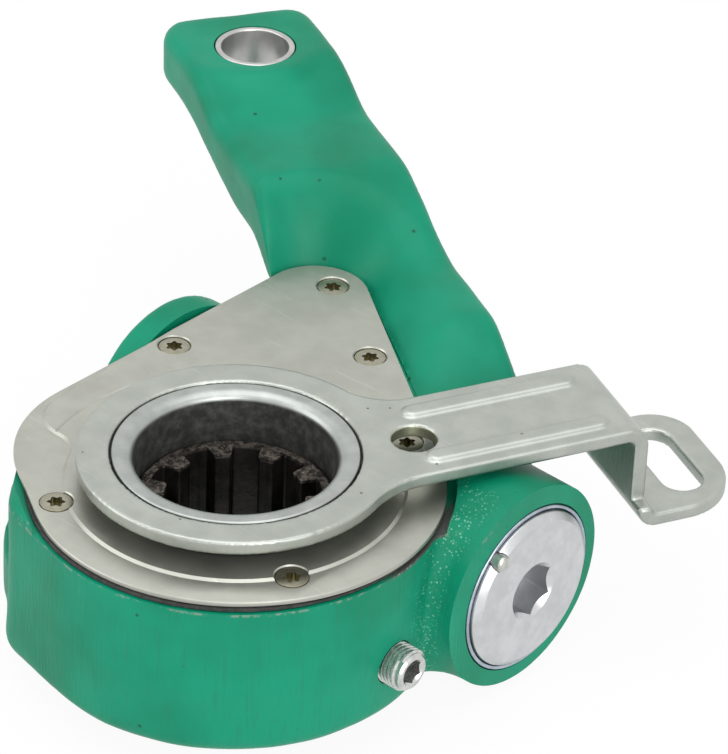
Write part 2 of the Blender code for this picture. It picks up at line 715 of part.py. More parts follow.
def cover_and_gasket():
    bm = extruded(belt(COVER_DISCS), COVER_LOW_Z, COVER_TOP_Z - COVER_RAISE)
    round_edges(bm, at_height(COVER_TOP_Z - COVER_RAISE), 0.3 * MM, 1)
    cover = add_object("cover_plate", finish_mesh("cover_plate", bm), ZINC)
    field = prism("cover_field", belt(field_discs(), FIELD_PIECES), COVER_LOW_Z + SEAT, COVER_TOP_Z)
    inset = (-FIELD_EDGE_MARGIN,) * 3
    within = prism("cover_field_edge", belt(grown(COVER_DISCS, inset)), COVER_LOW_Z, COVER_TOP_Z + OVERRUN)
    combine(field, within, "INTERSECT")
    join(cover, field)
    hub_bore = turned("cover_bore", rod(COVER_BORE_R, 0.0, ARM_LOW_Z), steps=44)
    cut(cover, hub_bore)
    gasket = prism("cover_gasket", belt(grown(COVER_DISCS, (-0.6 * MM,) * 3)),
                   GASKET_LOW_Z, GASKET_LOW_Z + GASKET_THICKNESS, GASKET_FIBRE)
    gasket_bore = turned("gasket_bore", rod(DISC_CAVITY_R, 0.0, ARM_LOW_Z), steps=44)
    cut(gasket, gasket_bore)
    for i, (x, y) in enumerate(SCREW_SPOTS, 1):
        sink = turned(f"screw_sink_{i}", countersunk(SEAT, COVER_TOP_Z + OVERRUN, 0.0),
                      location=(x, y, 0), steps=16)
        cut(cover, sink)
        cut(gasket, screw_hole(f"gasket_hole_{i}", SCREW_HEAD_R - SEAT, x, y))
    return cover, gasket


def countersunk(extra, top, low):
    """A countersunk screw's profile, or with extra room the profile of its seat."""
    head_z = COVER_TOP_Z - COVER_RAISE - SEAT / 2
    cone = SCREW_HEAD_R - SCREW_SHANK_R
    head = SCREW_HEAD_R + extra
    shank = SCREW_SHANK_R + extra
    rim = 0.15 * MM
    profile = [(0.0, top), (head, top), (head, head_z - rim), (shank, head_z - rim - cone)]
    return profile + [(shank, low), (0.0, low)]


def cover_screws():
    screws = []
    for i, (x, y) in enumerate(SCREW_SPOTS, 1):
        head_z = COVER_TOP_Z - COVER_RAISE - SEAT / 2
        screw = turned(f"cover_screw_{i}", countersunk(0.0, head_z, COVER_TOP_Z - SCREW_LENGTH), SCREW_ZINC,
                       location=(x, y, 0), steps=16)
        star = circle((0.0, 0.0), SCREW_SOCKET_R, 6)
        socket = prism(f"screw_socket_{i}", star, head_z - SCREW_SOCKET_DEPTH, head_z + OVERRUN,
                       location=(x, y, 0))
        cut(screw, socket)
        screws.append(screw)
    return screws


def grease_plug():
    place = (0, PLUG_Y, PLUG_Z)
    plug = turned("grease_plug", rod(PLUG_R, PLUG_END_X - PLUG_LENGTH, PLUG_END_X, 0.8 * MM), SCREW_ZINC,
                  place, AXIS_X, steps=24)
    socket = prism("plug_socket", hexagon(PLUG_SOCKET_FLATS), PLUG_END_X - PLUG_SOCKET_DEPTH,
                   PLUG_END_X + OVERRUN, None, place, AXIS_X)
    cut(plug, socket)
    return plug


def clevis_bush():
    low = ARM_END_TOP_Z - ARM_THICKNESS + SEAT
    return turned("clevis_bush", tube(BUSH_INNER_R, BUSH_OUTER_R, low, ARM_END_TOP_Z), BUSH_STEEL,
                  location=(BUSH_X, BUSH_Y, 0), steps=32)


# Control arm, hub and disc

def strip_plan():
    """Flat outline of ring and strip in (u, n), with arcs between the two."""
    left = STRIP_OFFSET - STRIP_HALF_WIDTH
    right = STRIP_OFFSET + STRIP_HALF_WIDTH
    left_n = left - STRIP_FILLET_LEFT
    left_u = math.sqrt((ARM_RING_R + STRIP_FILLET_LEFT) ** 2 - left_n ** 2)
    right_n = right + STRIP_FILLET_RIGHT
    right_u = math.sqrt((ARM_RING_R + STRIP_FILLET_RIGHT) ** 2 - right_n ** 2)
    left_turn = math.atan2(left_n, left_u)
    right_turn = math.atan2(right_n, right_u)
    half_turn = math.pi / 2
    outline = arc((right_u, right_n), STRIP_FILLET_RIGHT, -half_turn, right_turn - math.pi, 6)
    outline += arc((0.0, 0.0), ARM_RING_R, right_turn, 2 * math.pi + left_turn, 44)
    outline += arc((left_u, left_n), STRIP_FILLET_LEFT, left_turn + math.pi, half_turn, 6)
    return outline + [(STEP_FACE_U + OVERRUN, left), (STEP_FACE_U + OVERRUN, right)]


def flange_plan():
    """Flat outline of the flange in (u, n), from under the step to its far edge."""
    half_turn = math.pi / 2
    left = FLANGE_OFFSET - FLANGE_HALF_WIDTH
    right = FLANGE_OFFSET + FLANGE_HALF_WIDTH
    start = STEP_FACE_U - STRIP_THICKNESS - OVERRUN / 4
    back_r = FLANGE_BACK_R
    left_r = FLANGE_LEFT_CORNER_R
    right_r = FLANGE_RIGHT_CORNER_R
    outline = arc((start + back_r, left + back_r), back_r, -2 * half_turn, -half_turn, 2)
    outline += arc((FLANGE_END_U - left_r, left + left_r), left_r, -half_turn, 0.0, 6)
    outline += arc((FLANGE_END_U - right_r, right - right_r), right_r, 0.0, half_turn, 7)
    outline += arc((start + back_r, right - back_r), back_r, half_turn, 2 * half_turn, 2)
    return outline


def strip_side():
    """Side profile of the bent strip in (u, z): level, down the step, and out along the flange."""
    outer_r = STEP_BEND_R + STRIP_THICKNESS
    flange_low = FLANGE_TOP_Z - STRIP_THICKNESS
    quarter = math.pi / 2
    bend_top = (STEP_FACE_U - outer_r, ARM_RING_TOP_Z - outer_r)
    bend_foot = (STEP_FACE_U + STEP_BEND_R, FLANGE_TOP_Z + STEP_BEND_R)
    ring_back = -ARM_RING_R - OVERRUN
    profile = [(ring_back, ARM_RING_TOP_Z), (ring_back, ARM_LOW_Z)]
    profile += arc(bend_top, STEP_BEND_R, quarter, 0.0, 3)
    profile += arc(bend_foot, outer_r, math.pi, 1.5 * math.pi, 4)
    profile += [(FLANGE_END_U + OVERRUN, flange_low), (FLANGE_END_U + OVERRUN, FLANGE_TOP_Z)]
    profile += arc(bend_foot, STEP_BEND_R, 1.5 * math.pi, math.pi, 3)
    profile += arc(bend_top, outer_r, 0.0, quarter, 4)
    return profile


def capsule(u0, u1, n, radius, steps=4):
    half_turn = math.pi / 2
    far = arc((u1, n), radius, -half_turn, half_turn, steps)
    return far + arc((u0, n), radius, half_turn, 3 * half_turn, steps)


def control_arm():
    reach = ARM_RING_R + OVERRUN
    bm = extruded(strip_side(), -reach, reach)
    arm = add_object("control_arm", finish_mesh("control_arm", bm), ARM_ZINC,
                     rotation=(math.pi / 2, 0, STRIP_ANGLE))
    turn = (0, 0, STRIP_ANGLE)
    foot = FLANGE_TOP_Z + FLANGE_FOOT_HEIGHT
    plan = prism("arm_plan", [(u, -n) for u, n in strip_plan()], foot - STRIP_THICKNESS / 2,
                 ARM_RING_TOP_Z + OVERRUN, rotation=turn)
    flange = prism("flange_plan", [(u, -n) for u, n in flange_plan()], FLANGE_TOP_Z - 2 * STRIP_THICKNESS,
                   foot, rotation=turn)
    join(plan, flange)
    combine(arm, plan, "INTERSECT")
    for i, (n, start_u) in enumerate(RIBS, 1):
        outline = capsule(start_u, RIB_END_U, -n, RIB_HALF_WIDTH)
        bm = extruded(outline, ARM_RING_TOP_Z - STRIP_THICKNESS / 2, ARM_RING_TOP_Z + RIB_HEIGHT)
        round_edges(bm, at_height(ARM_RING_TOP_Z + RIB_HEIGHT), RIB_HEIGHT * 0.9, 2)
        join(arm, add_object(f"rib_{i}", finish_mesh(f"rib_{i}", bm), rotation=turn))
    cut(arm,
        turned("ring_bore", rod(HUB_FLANGE_R + SEAT, ARM_LOW_Z - OVERRUN, ARM_RING_TOP_Z + OVERRUN)),
        turned("access_hole", rod(ACCESS_HOLE_R, ARM_LOW_Z - OVERRUN, ARM_RING_TOP_Z + OVERRUN),
               location=(*ACCESS_HOLE_XY, 0), steps=20))
    straight = SLOT_HALF_LENGTH - SLOT_R
    slot = [(u, v) for v, u in capsule(-FLANGE_OFFSET - straight, -FLANGE_OFFSET + straight,
                                       SLOT_CENTRE_U, SLOT_R, 6)]
    cut(arm, prism("anchor_slot", slot, FLANGE_TOP_Z - STRIP_THICKNESS - OVERRUN,
                   FLANGE_TOP_Z + OVERRUN, rotation=turn))
    return arm


def control_hub():
    ring_seat = ARM_LOW_Z - SEAT
    collar_low = ring_seat - HUB_COLLAR_THICKNESS
    lip = 0.5 * MM
    profile = [
        (HUB_FLANGE_R - lip, ARM_RING_TOP_Z), (HUB_FLANGE_R, ARM_RING_TOP_Z - lip / 2),
        (HUB_FLANGE_R, ring_seat), (HUB_COLLAR_R, ring_seat), (HUB_COLLAR_R, collar_low),
        (HUB_NECK_R, collar_low), (HUB_NECK_R, HUB_BOTTOM_Z), (HUB_BORE_R, HUB_BOTTOM_Z),
        (HUB_BORE_R, HUB_LIP_Z - lip), (HUB_BORE_R + lip, HUB_LIP_Z),
        (HUB_FLANGE_R - 3 * lip, ARM_RING_TOP_Z),
    ]
    return turned("control_hub", profile, HUB_ZINC, steps=48)


def control_disc():
    inner = HUB_NECK_R + SEAT
    disc = turned("control_disc", tube(inner, DISC_R, DISC_LOW_Z, DISC_LOW_Z + DISC_THICKNESS), INNER_STEEL)
    half = DISC_NOTCH_WIDTH / 2
    cut(disc, box("disc_notch", (-DISC_R - OVERRUN, -half, DISC_LOW_Z - OVERRUN),
                  (-DISC_NOTCH_FLOOR_R, half, DISC_LOW_Z + DISC_THICKNESS + OVERRUN)))
    return disc


def hub_seal():
    collar_low = ARM_LOW_Z - SEAT - HUB_COLLAR_THICKNESS
    profile = tube(HUB_NECK_R + SEAT, HUB_COLLAR_R - 0.5 * MM, COVER_TOP_Z + SEAT, collar_low - SEAT)
    return turned("hub_seal", profile, RUBBER, steps=40)


# Worm wheel, worm and the train behind the cap

def worm_wheel():
    half_width = WHEEL_FACE_WIDTH / 2
    twist = WHEEL_FACE_WIDTH * WORM_LEAD / (2 * math.pi) / WORM_PITCH_R / WHEEL_PITCH_R
    outline = gear_outline(WHEEL_MODULE, WHEEL_TEETH, GEAR_BACKLASH * 2, WHEEL_MODULE * 1.24,
                           math.pi / 2 - twist / 2)
    bm = extruded(outline, WORM_AXIS_Z - half_width, WORM_AXIS_Z + half_width, twist)
    bmesh.ops.triangulate(bm, faces=[f for f in bm.faces if len(f.verts) == 4])
    wheel = add_object("worm_wheel", finish_mesh("worm_wheel", bm), GREASED)
    shoulder_r = JOURNAL_LOW_R + 2.5 * MM
    floor = FLOOR_THICKNESS + SEAT
    shoulder_top = HUB_BOTTOM_Z - SEAT
    profile = [
        (0.0, WHEEL_TOP_Z), (JOURNAL_TOP_R - 0.6 * MM, WHEEL_TOP_Z),
        (JOURNAL_TOP_R, WHEEL_TOP_Z - 0.6 * MM), (JOURNAL_TOP_R, shoulder_top),
        (HUB_NECK_R, shoulder_top), (HUB_NECK_R, WORM_AXIS_Z + half_width + SEAT),
        (shoulder_r - 3.0 * MM, WORM_AXIS_Z), (shoulder_r, floor),
        (JOURNAL_LOW_R, floor), (JOURNAL_LOW_R, WHEEL_BOTTOM_Z), (0.0, WHEEL_BOTTOM_Z),
    ]
    join(wheel, turned("wheel_hub", profile, steps=44))
    cut(wheel, prism("spline_bore", spline_outline(), -OVERRUN, COVER_TOP_Z))
    return wheel


def wheel_lower_seal():
    profile = tube(JOURNAL_LOW_R + SEAT, LOWER_SEAL_R, SEAT, LOWER_SEAL_WIDTH + SEAT)
    return turned("wheel_lower_seal", profile, RUBBER, steps=40)


def thread_blank():
    """The worm's single thread: a tooth section screwed along local Z, closed at both ends."""
    slope = math.tan(PRESSURE_ANGLE)
    half = WORM_LEAD / 4 - GEAR_BACKLASH / 2
    root_r = WORM_PITCH_R - WHEEL_MODULE * 1.34
    tip_r = WORM_PITCH_R + WHEEL_MODULE
    foot = half + (WORM_PITCH_R - root_r) * slope
    crest = half - WHEEL_MODULE * slope
    start = -WORM_TURNS / 2 * WORM_LEAD
    section = [(root_r, -foot), (root_r, foot), (tip_r, crest), (tip_r, -crest)]
    bm = bmesh.new()
    face = bm.faces.new([bm.verts.new((0.0, r, start + z)) for r, z in section])
    steps = 14
    bmesh.ops.spin(bm, geom=[face] + face.edges[:] + face.verts[:], cent=(0, 0, 0), axis=(0, 0, 1),
                   dvec=(0, 0, WORM_LEAD / steps), angle=2 * math.pi * WORM_TURNS,
                   steps=WORM_TURNS * steps, use_duplicate=False)
    bmesh.ops.triangulate(bm, faces=bm.faces)
    return bm


def worm_shaft():
    place = (0, WORM_AXIS_Y, WORM_AXIS_Z)
    half = WORM_LENGTH / 2
    core_r = WORM_PITCH_R - WHEEL_MODULE * 1.2
    chamfer = 0.6 * MM
    profile = [
        (0.0, SHAFT_END_X), (SHAFT_R - chamfer, SHAFT_END_X), (SHAFT_R, SHAFT_END_X - chamfer),
        (SHAFT_R, half), (core_r, half), (core_r, -half), (SHAFT_R, -half),
        (SHAFT_R, BARREL_END_X), (0.0, BARREL_END_X),
    ]
    shaft = turned("worm_shaft", profile, SHAFT_STEEL, place, AXIS_X, steps=26)
    thread = add_object("worm_thread", finish_mesh("worm_thread", thread_blank()), None, place, AXIS_X)
    hexagon_end = prism("worm_hexagon", hexagon(HEX_ACROSS_FLATS), BARREL_END_X - HEX_LENGTH,
                        BARREL_END_X + OVERRUN, None, place, AXIS_X)
    join(shaft, thread, hexagon_end)
    weld(shaft)
    return shaft


def along_shaft(name, profile, material, steps=32):
    return turned(name, profile, material, (0, WORM_AXIS_Y, WORM_AXIS_Z), AXIS_X, steps)


def pressure_train():
    bore = SHAFT_R + RUN
    rim = WORM_BORE_R - SEAT
    start = WORM_LENGTH / 2 + SEAT
    bearing_end = start + BEARING_WIDTH
    seat_start = bearing_end + SEAT
    seat_end = seat_start + SPRING_SEAT_WIDTH
    along_shaft("worm_bearing", tube(bore, rim, start, bearing_end), BUSH_STEEL)
    along_shaft("spring_seat", tube(bore, rim, seat_start, seat_end), INNER_STEEL)
    room = CAP_INNER_X - SEAT - (seat_end + SEAT)
    coil("pressure_spring", SPRING_STEEL, PRESSURE_WIRE_R, PRESSURE_COIL_R, seat_end + SEAT, room,
         PRESSURE_TURNS, AXIS_X, (0, WORM_AXIS_Y, WORM_AXIS_Z))
    along_shaft("worm_rear_seal", tube(bore, REAR_SEAL_R, BARREL_END_X + SEAT,
                                       BARREL_END_X + SEAT + REAR_SEAL_WIDTH), RUBBER, 24)


def worm_cap():
    groove_x = BOSS_FACE_X - SEAL_WIDTH + SEAT
    profile = [
        (0.0, CAP_FACE_X), (CAP_FACE_R, CAP_FACE_X), (CAP_RIM_R, CAP_FACE_X - CAP_CHAMFER),
        (CAP_RIM_R, groove_x), (CAP_THREAD_R, groove_x), (CAP_THREAD_R, CAP_INNER_X),
        (0.0, CAP_INNER_X),
    ]
    cap = along_shaft("worm_cap", profile, CAP_ZINC, 48)
    place = (0, WORM_AXIS_Y, WORM_AXIS_Z)
    socket = prism("cap_socket", hexagon(CAP_SOCKET_FLATS), CAP_FACE_X - CAP_SOCKET_DEPTH,
                   CAP_FACE_X + OVERRUN, None, place, AXIS_X)
    mouth_depth = CAP_SOCKET_MOUTH_R - CAP_SOCKET_FLATS / 2
    mouth = turned("cap_mouth", [(0.0, CAP_FACE_X + OVERRUN), (CAP_SOCKET_MOUTH_R, CAP_FACE_X + OVERRUN),
                                 (CAP_SOCKET_MOUTH_R, CAP_FACE_X),
                                 (CAP_SOCKET_FLATS / 2, CAP_FACE_X - mouth_depth),
                                 (0.0, CAP_FACE_X - mouth_depth)], None, place, AXIS_X, 32)
    cut(cap, socket, mouth, lock_pin_hole())
    return cap


def cap_seal():
    seal = along_shaft("cap_seal", tube(CAP_RIM_R + SEAT, SEAL_OUTER_R, BOSS_FACE_X - SEAL_WIDTH + SEAT,
                                        BOSS_FACE_X + SEAT), SEAL_ZINC, 48)
    cut(seal, lock_pin_hole())
    return seal


def cap_lock_pin():
    start = BOSS_FACE_X - LOCK_PIN_LENGTH + SEAT
    return turned("cap_lock_pin", rod(LOCK_PIN_R, start, BOSS_FACE_X + LOCK_PIN_PROUD, 0.4 * MM), SCREW_ZINC,
                  (0, LOCK_PIN_Y, LOCK_PIN_Z), AXIS_X, steps=16)


# Rack drive

def rack_profile():
    """Rack outline in (y, z): straight teeth below, in mesh with the pinion at the worm's axis."""
    slope = math.tan(PRESSURE_ANGLE)
    half = RACK_PITCH / 4 - RACK_BACKLASH / 2
    tip_z = RACK_PITCH_Z - RACK_MODULE * 0.9
    root_z = RACK_PITCH_Z + RACK_MODULE * 1.2
    crest = half - (RACK_PITCH_Z - tip_z) * slope
    foot = half + (root_z - RACK_PITCH_Z) * slope
    profile = [(RACK_HIGH_Y, RACK_BACK_Z), (RACK_LOW_Y, RACK_BACK_Z), (RACK_LOW_Y, root_z)]
    first = WORM_AXIS_Y - (RACK_TEETH - 2) * RACK_PITCH
    for i in range(RACK_TEETH):
        middle = first + i * RACK_PITCH
        profile += [(middle - foot, root_z), (middle - crest, tip_z), (middle + crest, tip_z),
                    (middle + foot, root_z)]
    return profile + [(RACK_HIGH_Y, root_z)]


def rack():
    half = RACK_WIDTH / 2
    bar = prism("rack", rack_profile(), RACK_X - half, RACK_X + half, INNER_STEEL, rotation=PROFILE_YZ)
    toe_half = RACK_TOE_WIDTH / 2
    join(bar, box("rack_toe", (RACK_X, -toe_half, DISC_LOW_Z + SEAT / 3),
                  (RACK_TOE_X, toe_half, DISC_LOW_Z + DISC_THICKNESS - SEAT / 3)))
    return bar


def rack_spring():
    start = RACK_HIGH_Y + RACK_TRAVEL_UP + SEAT
    length = RACK_CHANNEL_END_Y - SEAT - start
    height = RACK_BACK_Z - RACK_SPRING_COIL_R - RACK_SPRING_WIRE_R
    return coil("rack_spring", SPRING_STEEL, RACK_SPRING_WIRE_R, RACK_SPRING_COIL_R, start, length,
                RACK_SPRING_TURNS, (-math.pi / 2, 0, 0), (RACK_X, 0, height))


def drive_pinion():
    place = (0, WORM_AXIS_Y, WORM_AXIS_Z)
    half = RACK_WIDTH / 2
    outline = gear_outline(RACK_MODULE, PINION_TEETH, RACK_BACKLASH * 2, RACK_MODULE * 1.2,
                           math.pi / 2 + math.pi / PINION_TEETH)
    pinion = prism("drive_pinion", outline, RACK_X - half, RACK_X + half, GREASED, place, PROFILE_YZ)
    sleeve_end = RACK_X + half + PINION_SLEEVE
    join(pinion, along_shaft("pinion_sleeve", rod(SLEEVE_R, RACK_X, sleeve_end), None, 24))
    cut(pinion, along_shaft("pinion_bore", rod(SHAFT_R + RUN, BARREL_END_X, 0.0), None, 24))
    return pinion


def clutch():
    bore = SHAFT_R + RUN
    flange_end = -WORM_LENGTH / 2 - SEAT
    flange_start = flange_end - CLUTCH_RING_WIDTH
    sleeve_start = RACK_X + RACK_WIDTH / 2 + PINION_SLEEVE + SEAT
    profile = [(CLUTCH_RING_R, flange_end), (CLUTCH_RING_R, flange_start), (SLEEVE_R, flange_start),
               (SLEEVE_R, sleeve_start), (bore, sleeve_start), (bore, flange_end)]
    along_shaft("clutch_ring", profile, INNER_STEEL)
    start = RACK_X + RACK_WIDTH / 2 + SEAT
    length = flange_start - SEAT - start
    return coil("clutch_spring", SPRING_STEEL, CLUTCH_WIRE_R, CLUTCH_COIL_R, start, length, CLUTCH_TURNS,
                AXIS_X, (0, WORM_AXIS_Y, WORM_AXIS_Z))


PARTS, CUTTERS = start_scene()
PAINT = make_material("green_paint", (0.010, 0.300, 0.165), 0.45, 0.0)
ZINC = make_material("cover_zinc", (0.60, 0.59, 0.56), 0.42, 0.9)
ARM_ZINC = make_material("arm_zinc", (0.58, 0.60, 0.59), 0.38, 0.9)
HUB_ZINC = make_material("hub_zinc", (0.62, 0.64, 0.65), 0.28, 0.95)
CAP_ZINC = make_material("cap_zinc", (0.66, 0.67, 0.68), 0.35, 0.9)
SEAL_ZINC = make_material("cap_ring_zinc", (0.50, 0.56, 0.62), 0.35, 0.9)
SCREW_ZINC = make_material("fastener_zinc", (0.62, 0.61, 0.57), 0.35, 0.9)
BUSH_STEEL = make_material("bush_steel", (0.60, 0.59, 0.58), 0.3, 1.0)
INNER_STEEL = make_material("hardened_steel", (0.36, 0.36, 0.36), 0.4, 1.0)
SHAFT_STEEL = make_material("ground_steel", (0.45, 0.45, 0.45), 0.3, 1.0)
SPRING_STEEL = make_material("spring_steel", (0.25, 0.25, 0.26), 0.4, 1.0)
GREASED = make_material("greased_steel", (0.045, 0.040, 0.036), 0.35, 0.7)
RUBBER = make_material("seal_rubber", (0.02, 0.02, 0.02), 0.7, 0.0)
GASKET_FIBRE = make_material("gasket_fibre", (0.05, 0.05, 0.05), 0.8, 0.0)

housing_body()
clevis_bush()
cover_and_gasket()
cover_screws()
grease_plug()
control_arm()
control_hub()
control_disc()
hub_seal()
worm_wheel()
wheel_lower_seal()
worm_shaft()
pressure_train()
worm_cap()
cap_seal()
cap_lock_pin()
rack()
rack_spring()
drive_pinion()
clutch()
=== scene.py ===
# Looks of the brake slack adjuster: fine-meshed castings, pressings and turned pieces over the frame.
# Everything is in metres in the row frame. Z is the camshaft axis and X is the worm's axis direction.

import math

import bmesh
import bpy
from mathutils import Matrix, Vector, kdtree, noise


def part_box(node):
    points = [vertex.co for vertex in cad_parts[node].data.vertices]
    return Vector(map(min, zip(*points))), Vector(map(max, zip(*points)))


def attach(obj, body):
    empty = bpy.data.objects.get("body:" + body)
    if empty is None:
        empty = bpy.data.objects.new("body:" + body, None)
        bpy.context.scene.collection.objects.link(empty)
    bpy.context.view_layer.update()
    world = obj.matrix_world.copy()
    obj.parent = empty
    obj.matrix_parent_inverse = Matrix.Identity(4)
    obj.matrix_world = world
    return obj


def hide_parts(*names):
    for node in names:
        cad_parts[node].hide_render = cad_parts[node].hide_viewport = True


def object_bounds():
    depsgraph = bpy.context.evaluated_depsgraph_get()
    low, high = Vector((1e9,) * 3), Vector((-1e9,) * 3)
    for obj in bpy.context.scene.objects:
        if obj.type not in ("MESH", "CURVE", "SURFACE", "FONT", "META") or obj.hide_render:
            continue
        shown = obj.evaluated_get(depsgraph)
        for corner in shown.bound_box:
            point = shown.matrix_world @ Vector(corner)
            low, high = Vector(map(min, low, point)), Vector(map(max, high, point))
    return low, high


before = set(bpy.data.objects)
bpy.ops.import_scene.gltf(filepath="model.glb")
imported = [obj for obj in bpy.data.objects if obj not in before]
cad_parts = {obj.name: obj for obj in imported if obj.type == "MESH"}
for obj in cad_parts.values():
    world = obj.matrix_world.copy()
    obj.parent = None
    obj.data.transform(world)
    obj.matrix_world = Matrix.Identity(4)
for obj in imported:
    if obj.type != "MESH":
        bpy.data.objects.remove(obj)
CAD_LOW, CAD_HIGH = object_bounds()
MM = 0.001
FULL_TURN = 2 * math.pi
HALF_TURN = math.pi
QUARTER = math.pi / 2

# Camera, fitted to the photograph
IMAGE_LONG_SIDE = 754
FOCAL_PX = 4300.0
SENSOR_MM = 36.0
CAMERA_PLACE = Vector((0.5193116, -0.5490039, 0.5584457))
CAMERA_AZIMUTH = math.radians(41.3993)
CAMERA_ELEVATION = math.radians(33.0640)
CAMERA_ROLL = math.radians(-2.4001)

# Shared sizes
SEAT = 0.3 * MM
COVER_DISCS = (
    (-20.0 * MM, -2.6 * MM, 31.5 * MM),
    (0.0, 0.0, 43.9 * MM),
    (0.85 * MM, 1.05 * MM, 43.9 * MM),
    (-39.3 * MM, 66.9 * MM, 12.3 * MM),
)
FIELD_R = 36.6 * MM
FIELD_HOLLOW_R = 8.0 * MM
FIELD_HOLLOW_TURN = math.radians(42.0)
FIELD_LOBE = (-40.0 * MM, -5.4 * MM, 9.2 * MM)
FIELD_REACH = 2.0 * MM
FIELD_BEYOND_R = 51.2 * MM
FIELD_CORNER_TURN = 0.14
FIELD_SLOPE = 0.32 * MM
FIELD_COUNTS = (72, 12, 8, 14, 14, 12)
COVER_LOW_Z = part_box("cover_plate")[0].z
COVER_TOP_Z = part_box("cover_plate")[1].z
COVER_RAISE = 0.5 * MM
COVER_BORE_R = 24.7 * MM
GROOVE_R = 42.5 * MM
GROOVE_HALF_WIDTH = 0.45 * MM
GROOVE_DEPTH = 0.22 * MM
HEAD_TOP_DISCS = (
    (-20.0 * MM, -2.6 * MM, 29.7 * MM),
    (-23.5 * MM, -32.0 * MM, 8.7 * MM),
    (0.0, 0.0, 45.0 * MM),
    (-39.8 * MM, 67.2 * MM, 11.9 * MM),
)
HEAD_FOOT_DISCS = (
    (-20.0 * MM, -2.6 * MM, 32.6 * MM),
    (-23.5 * MM, -32.0 * MM, 9.6 * MM),
    (-0.4 * MM, -0.5 * MM, 45.0 * MM),
    (-40.4 * MM, 67.0 * MM, 11.2 * MM),
)
HEAD_WAIST = (0.0, 0.0, 0.8 * MM, 0.0)
HEAD_WAIST_Z = 17.0 * MM
HEAD_HEIGHT = 36.8 * MM
HEAD_EDGE_R = 4.0 * MM
BULGE_R = 33.8 * MM
BULGE_TOP_Z = 15.5 * MM
FACE_CUT_MARGINS = (2.0 * MM, 2.1 * MM, 2.1 * MM, 0.5 * MM)
ROOT_BLEND = 15.0 * MM
WORM_Y = 39.1 * MM
WORM_Z = 17.0 * MM
BARREL_R = 23.3 * MM
BARREL_END_X = -60.0 * MM
BARREL_SHIFT_Y = -0.9 * MM
BOSS_R = 23.6 * MM
BOSS_SHIFT_Y = -0.3 * MM
BOSS_SHIFT_Z = 1.0 * MM
BOSS_BACK_X = 36.0 * MM
BOSS_TAPER_X = 18.0 * MM
BOSS_FACE_X = 49.9 * MM
BOSS_FLARE_R = 10.0 * MM
WHEEL_CAVITY_R = 31.8 * MM
WORM_BORE_R = 14.5 * MM
WORM_BORE_END_X = -43.1 * MM
SHAFT_BORE_R = 7.5 * MM
REAR_SEAL_SEAT_R = 11.3 * MM
REAR_SEAL_SEAT_X = -55.9 * MM
CAP_SEAT_X = 35.7 * MM
LIP_SEAT_DEPTH = 1.8 * MM
PLUG_HOLE_R = 5.2 * MM
JOURNAL_BORE_R = 25.0 * MM
LOWER_SEAL_R = 28.2 * MM
LOWER_SEAL_INNER_R = 25.0 * MM
LOWER_SEAL_WIDTH = 3.0 * MM
HEAD_FLOOR = 6.0 * MM

# Lever arm: s runs along it and n across it
ARM_ANGLE = math.radians(154.5)
ARM_CENTRE_N = 56.1 * MM
ARM_WIDTH = 37.6 * MM
ARM_START_S = 10.0 * MM
ARM_END_S = 157.0 * MM
ARM_END_SKEW = 0.095
ARM_EDGE_R = 3.0 * MM
ARM_LEFT_CORNER_R = 9.0 * MM
ARM_RIGHT_CORNER_R = 6.5 * MM
ARM_TOP_LEVELS = (36.0 * MM, 45.6 * MM, 56.0 * MM, 62.4 * MM)
ARM_TOP_RAMPS = ((14.0 * MM, 37.0 * MM), (55.0 * MM, 92.0 * MM), (110.0 * MM, 134.0 * MM))
ARM_UNDER_LEVELS = (4.0 * MM, 40.9 * MM, 49.6 * MM)
ARM_UNDER_RAMPS = ((42.0 * MM, 90.0 * MM), (96.0 * MM, 142.0 * MM))
PAD_Z = 62.2 * MM
PAD_R = 11.5 * MM
PAD_BLEND = 6.0 * MM
BUSH_LOW, BUSH_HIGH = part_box("clevis_bush")
BUSH_X, BUSH_Y, _ = (BUSH_LOW + BUSH_HIGH) / 2
BUSH_OUTER_R = 9.6 * MM
BUSH_INNER_R = 8.1 * MM

# Control arm: u runs along the strip and n to its right
STRIP_ANGLE = math.radians(65.5)
RING_R = 33.9 * MM
RING_BORE_R = 27.1 * MM
RING_TOP_Z = 46.7 * MM
SHEET = 3.0 * MM
STRIP_HALF_WIDTH = 14.1 * MM
STRIP_OFFSET = 7.8 * MM
STRIP_FILLET_LEFT = 14.0 * MM
STRIP_FILLET_RIGHT = 22.0 * MM
STEP_FACE_U = 87.0 * MM
STEP_BEND_R = 1.4 * MM
FLANGE_TOP_Z = 26.7 * MM
FLANGE_END_U = 110.3 * MM
FLANGE_OFFSET = 8.0 * MM
FLANGE_HALF_WIDTH = 18.3 * MM
FLANGE_LEFT_CORNER_R = 9.5 * MM
FLANGE_RIGHT_CORNER_R = 14.0 * MM
FLANGE_BACK_R = 2.0 * MM
FLANGE_FOOT_HEIGHT = 1.8 * MM
SLOT_CENTRE_U = 99.4 * MM
SLOT_HALF_LENGTH = 12.4 * MM
SLOT_R = 4.9 * MM
ACCESS_HOLE = (23.3 * MM, 30.7 * MM)
ACCESS_HOLE_R = 5.1 * MM
RIBS = ((-0.8 * MM, 41.0 * MM), (16.6 * MM, 39.2 * MM))
RIB_END_U = 77.5 * MM
RIB_HALF_WIDTH = 2.1 * MM
RIB_HEIGHT = 0.9 * MM

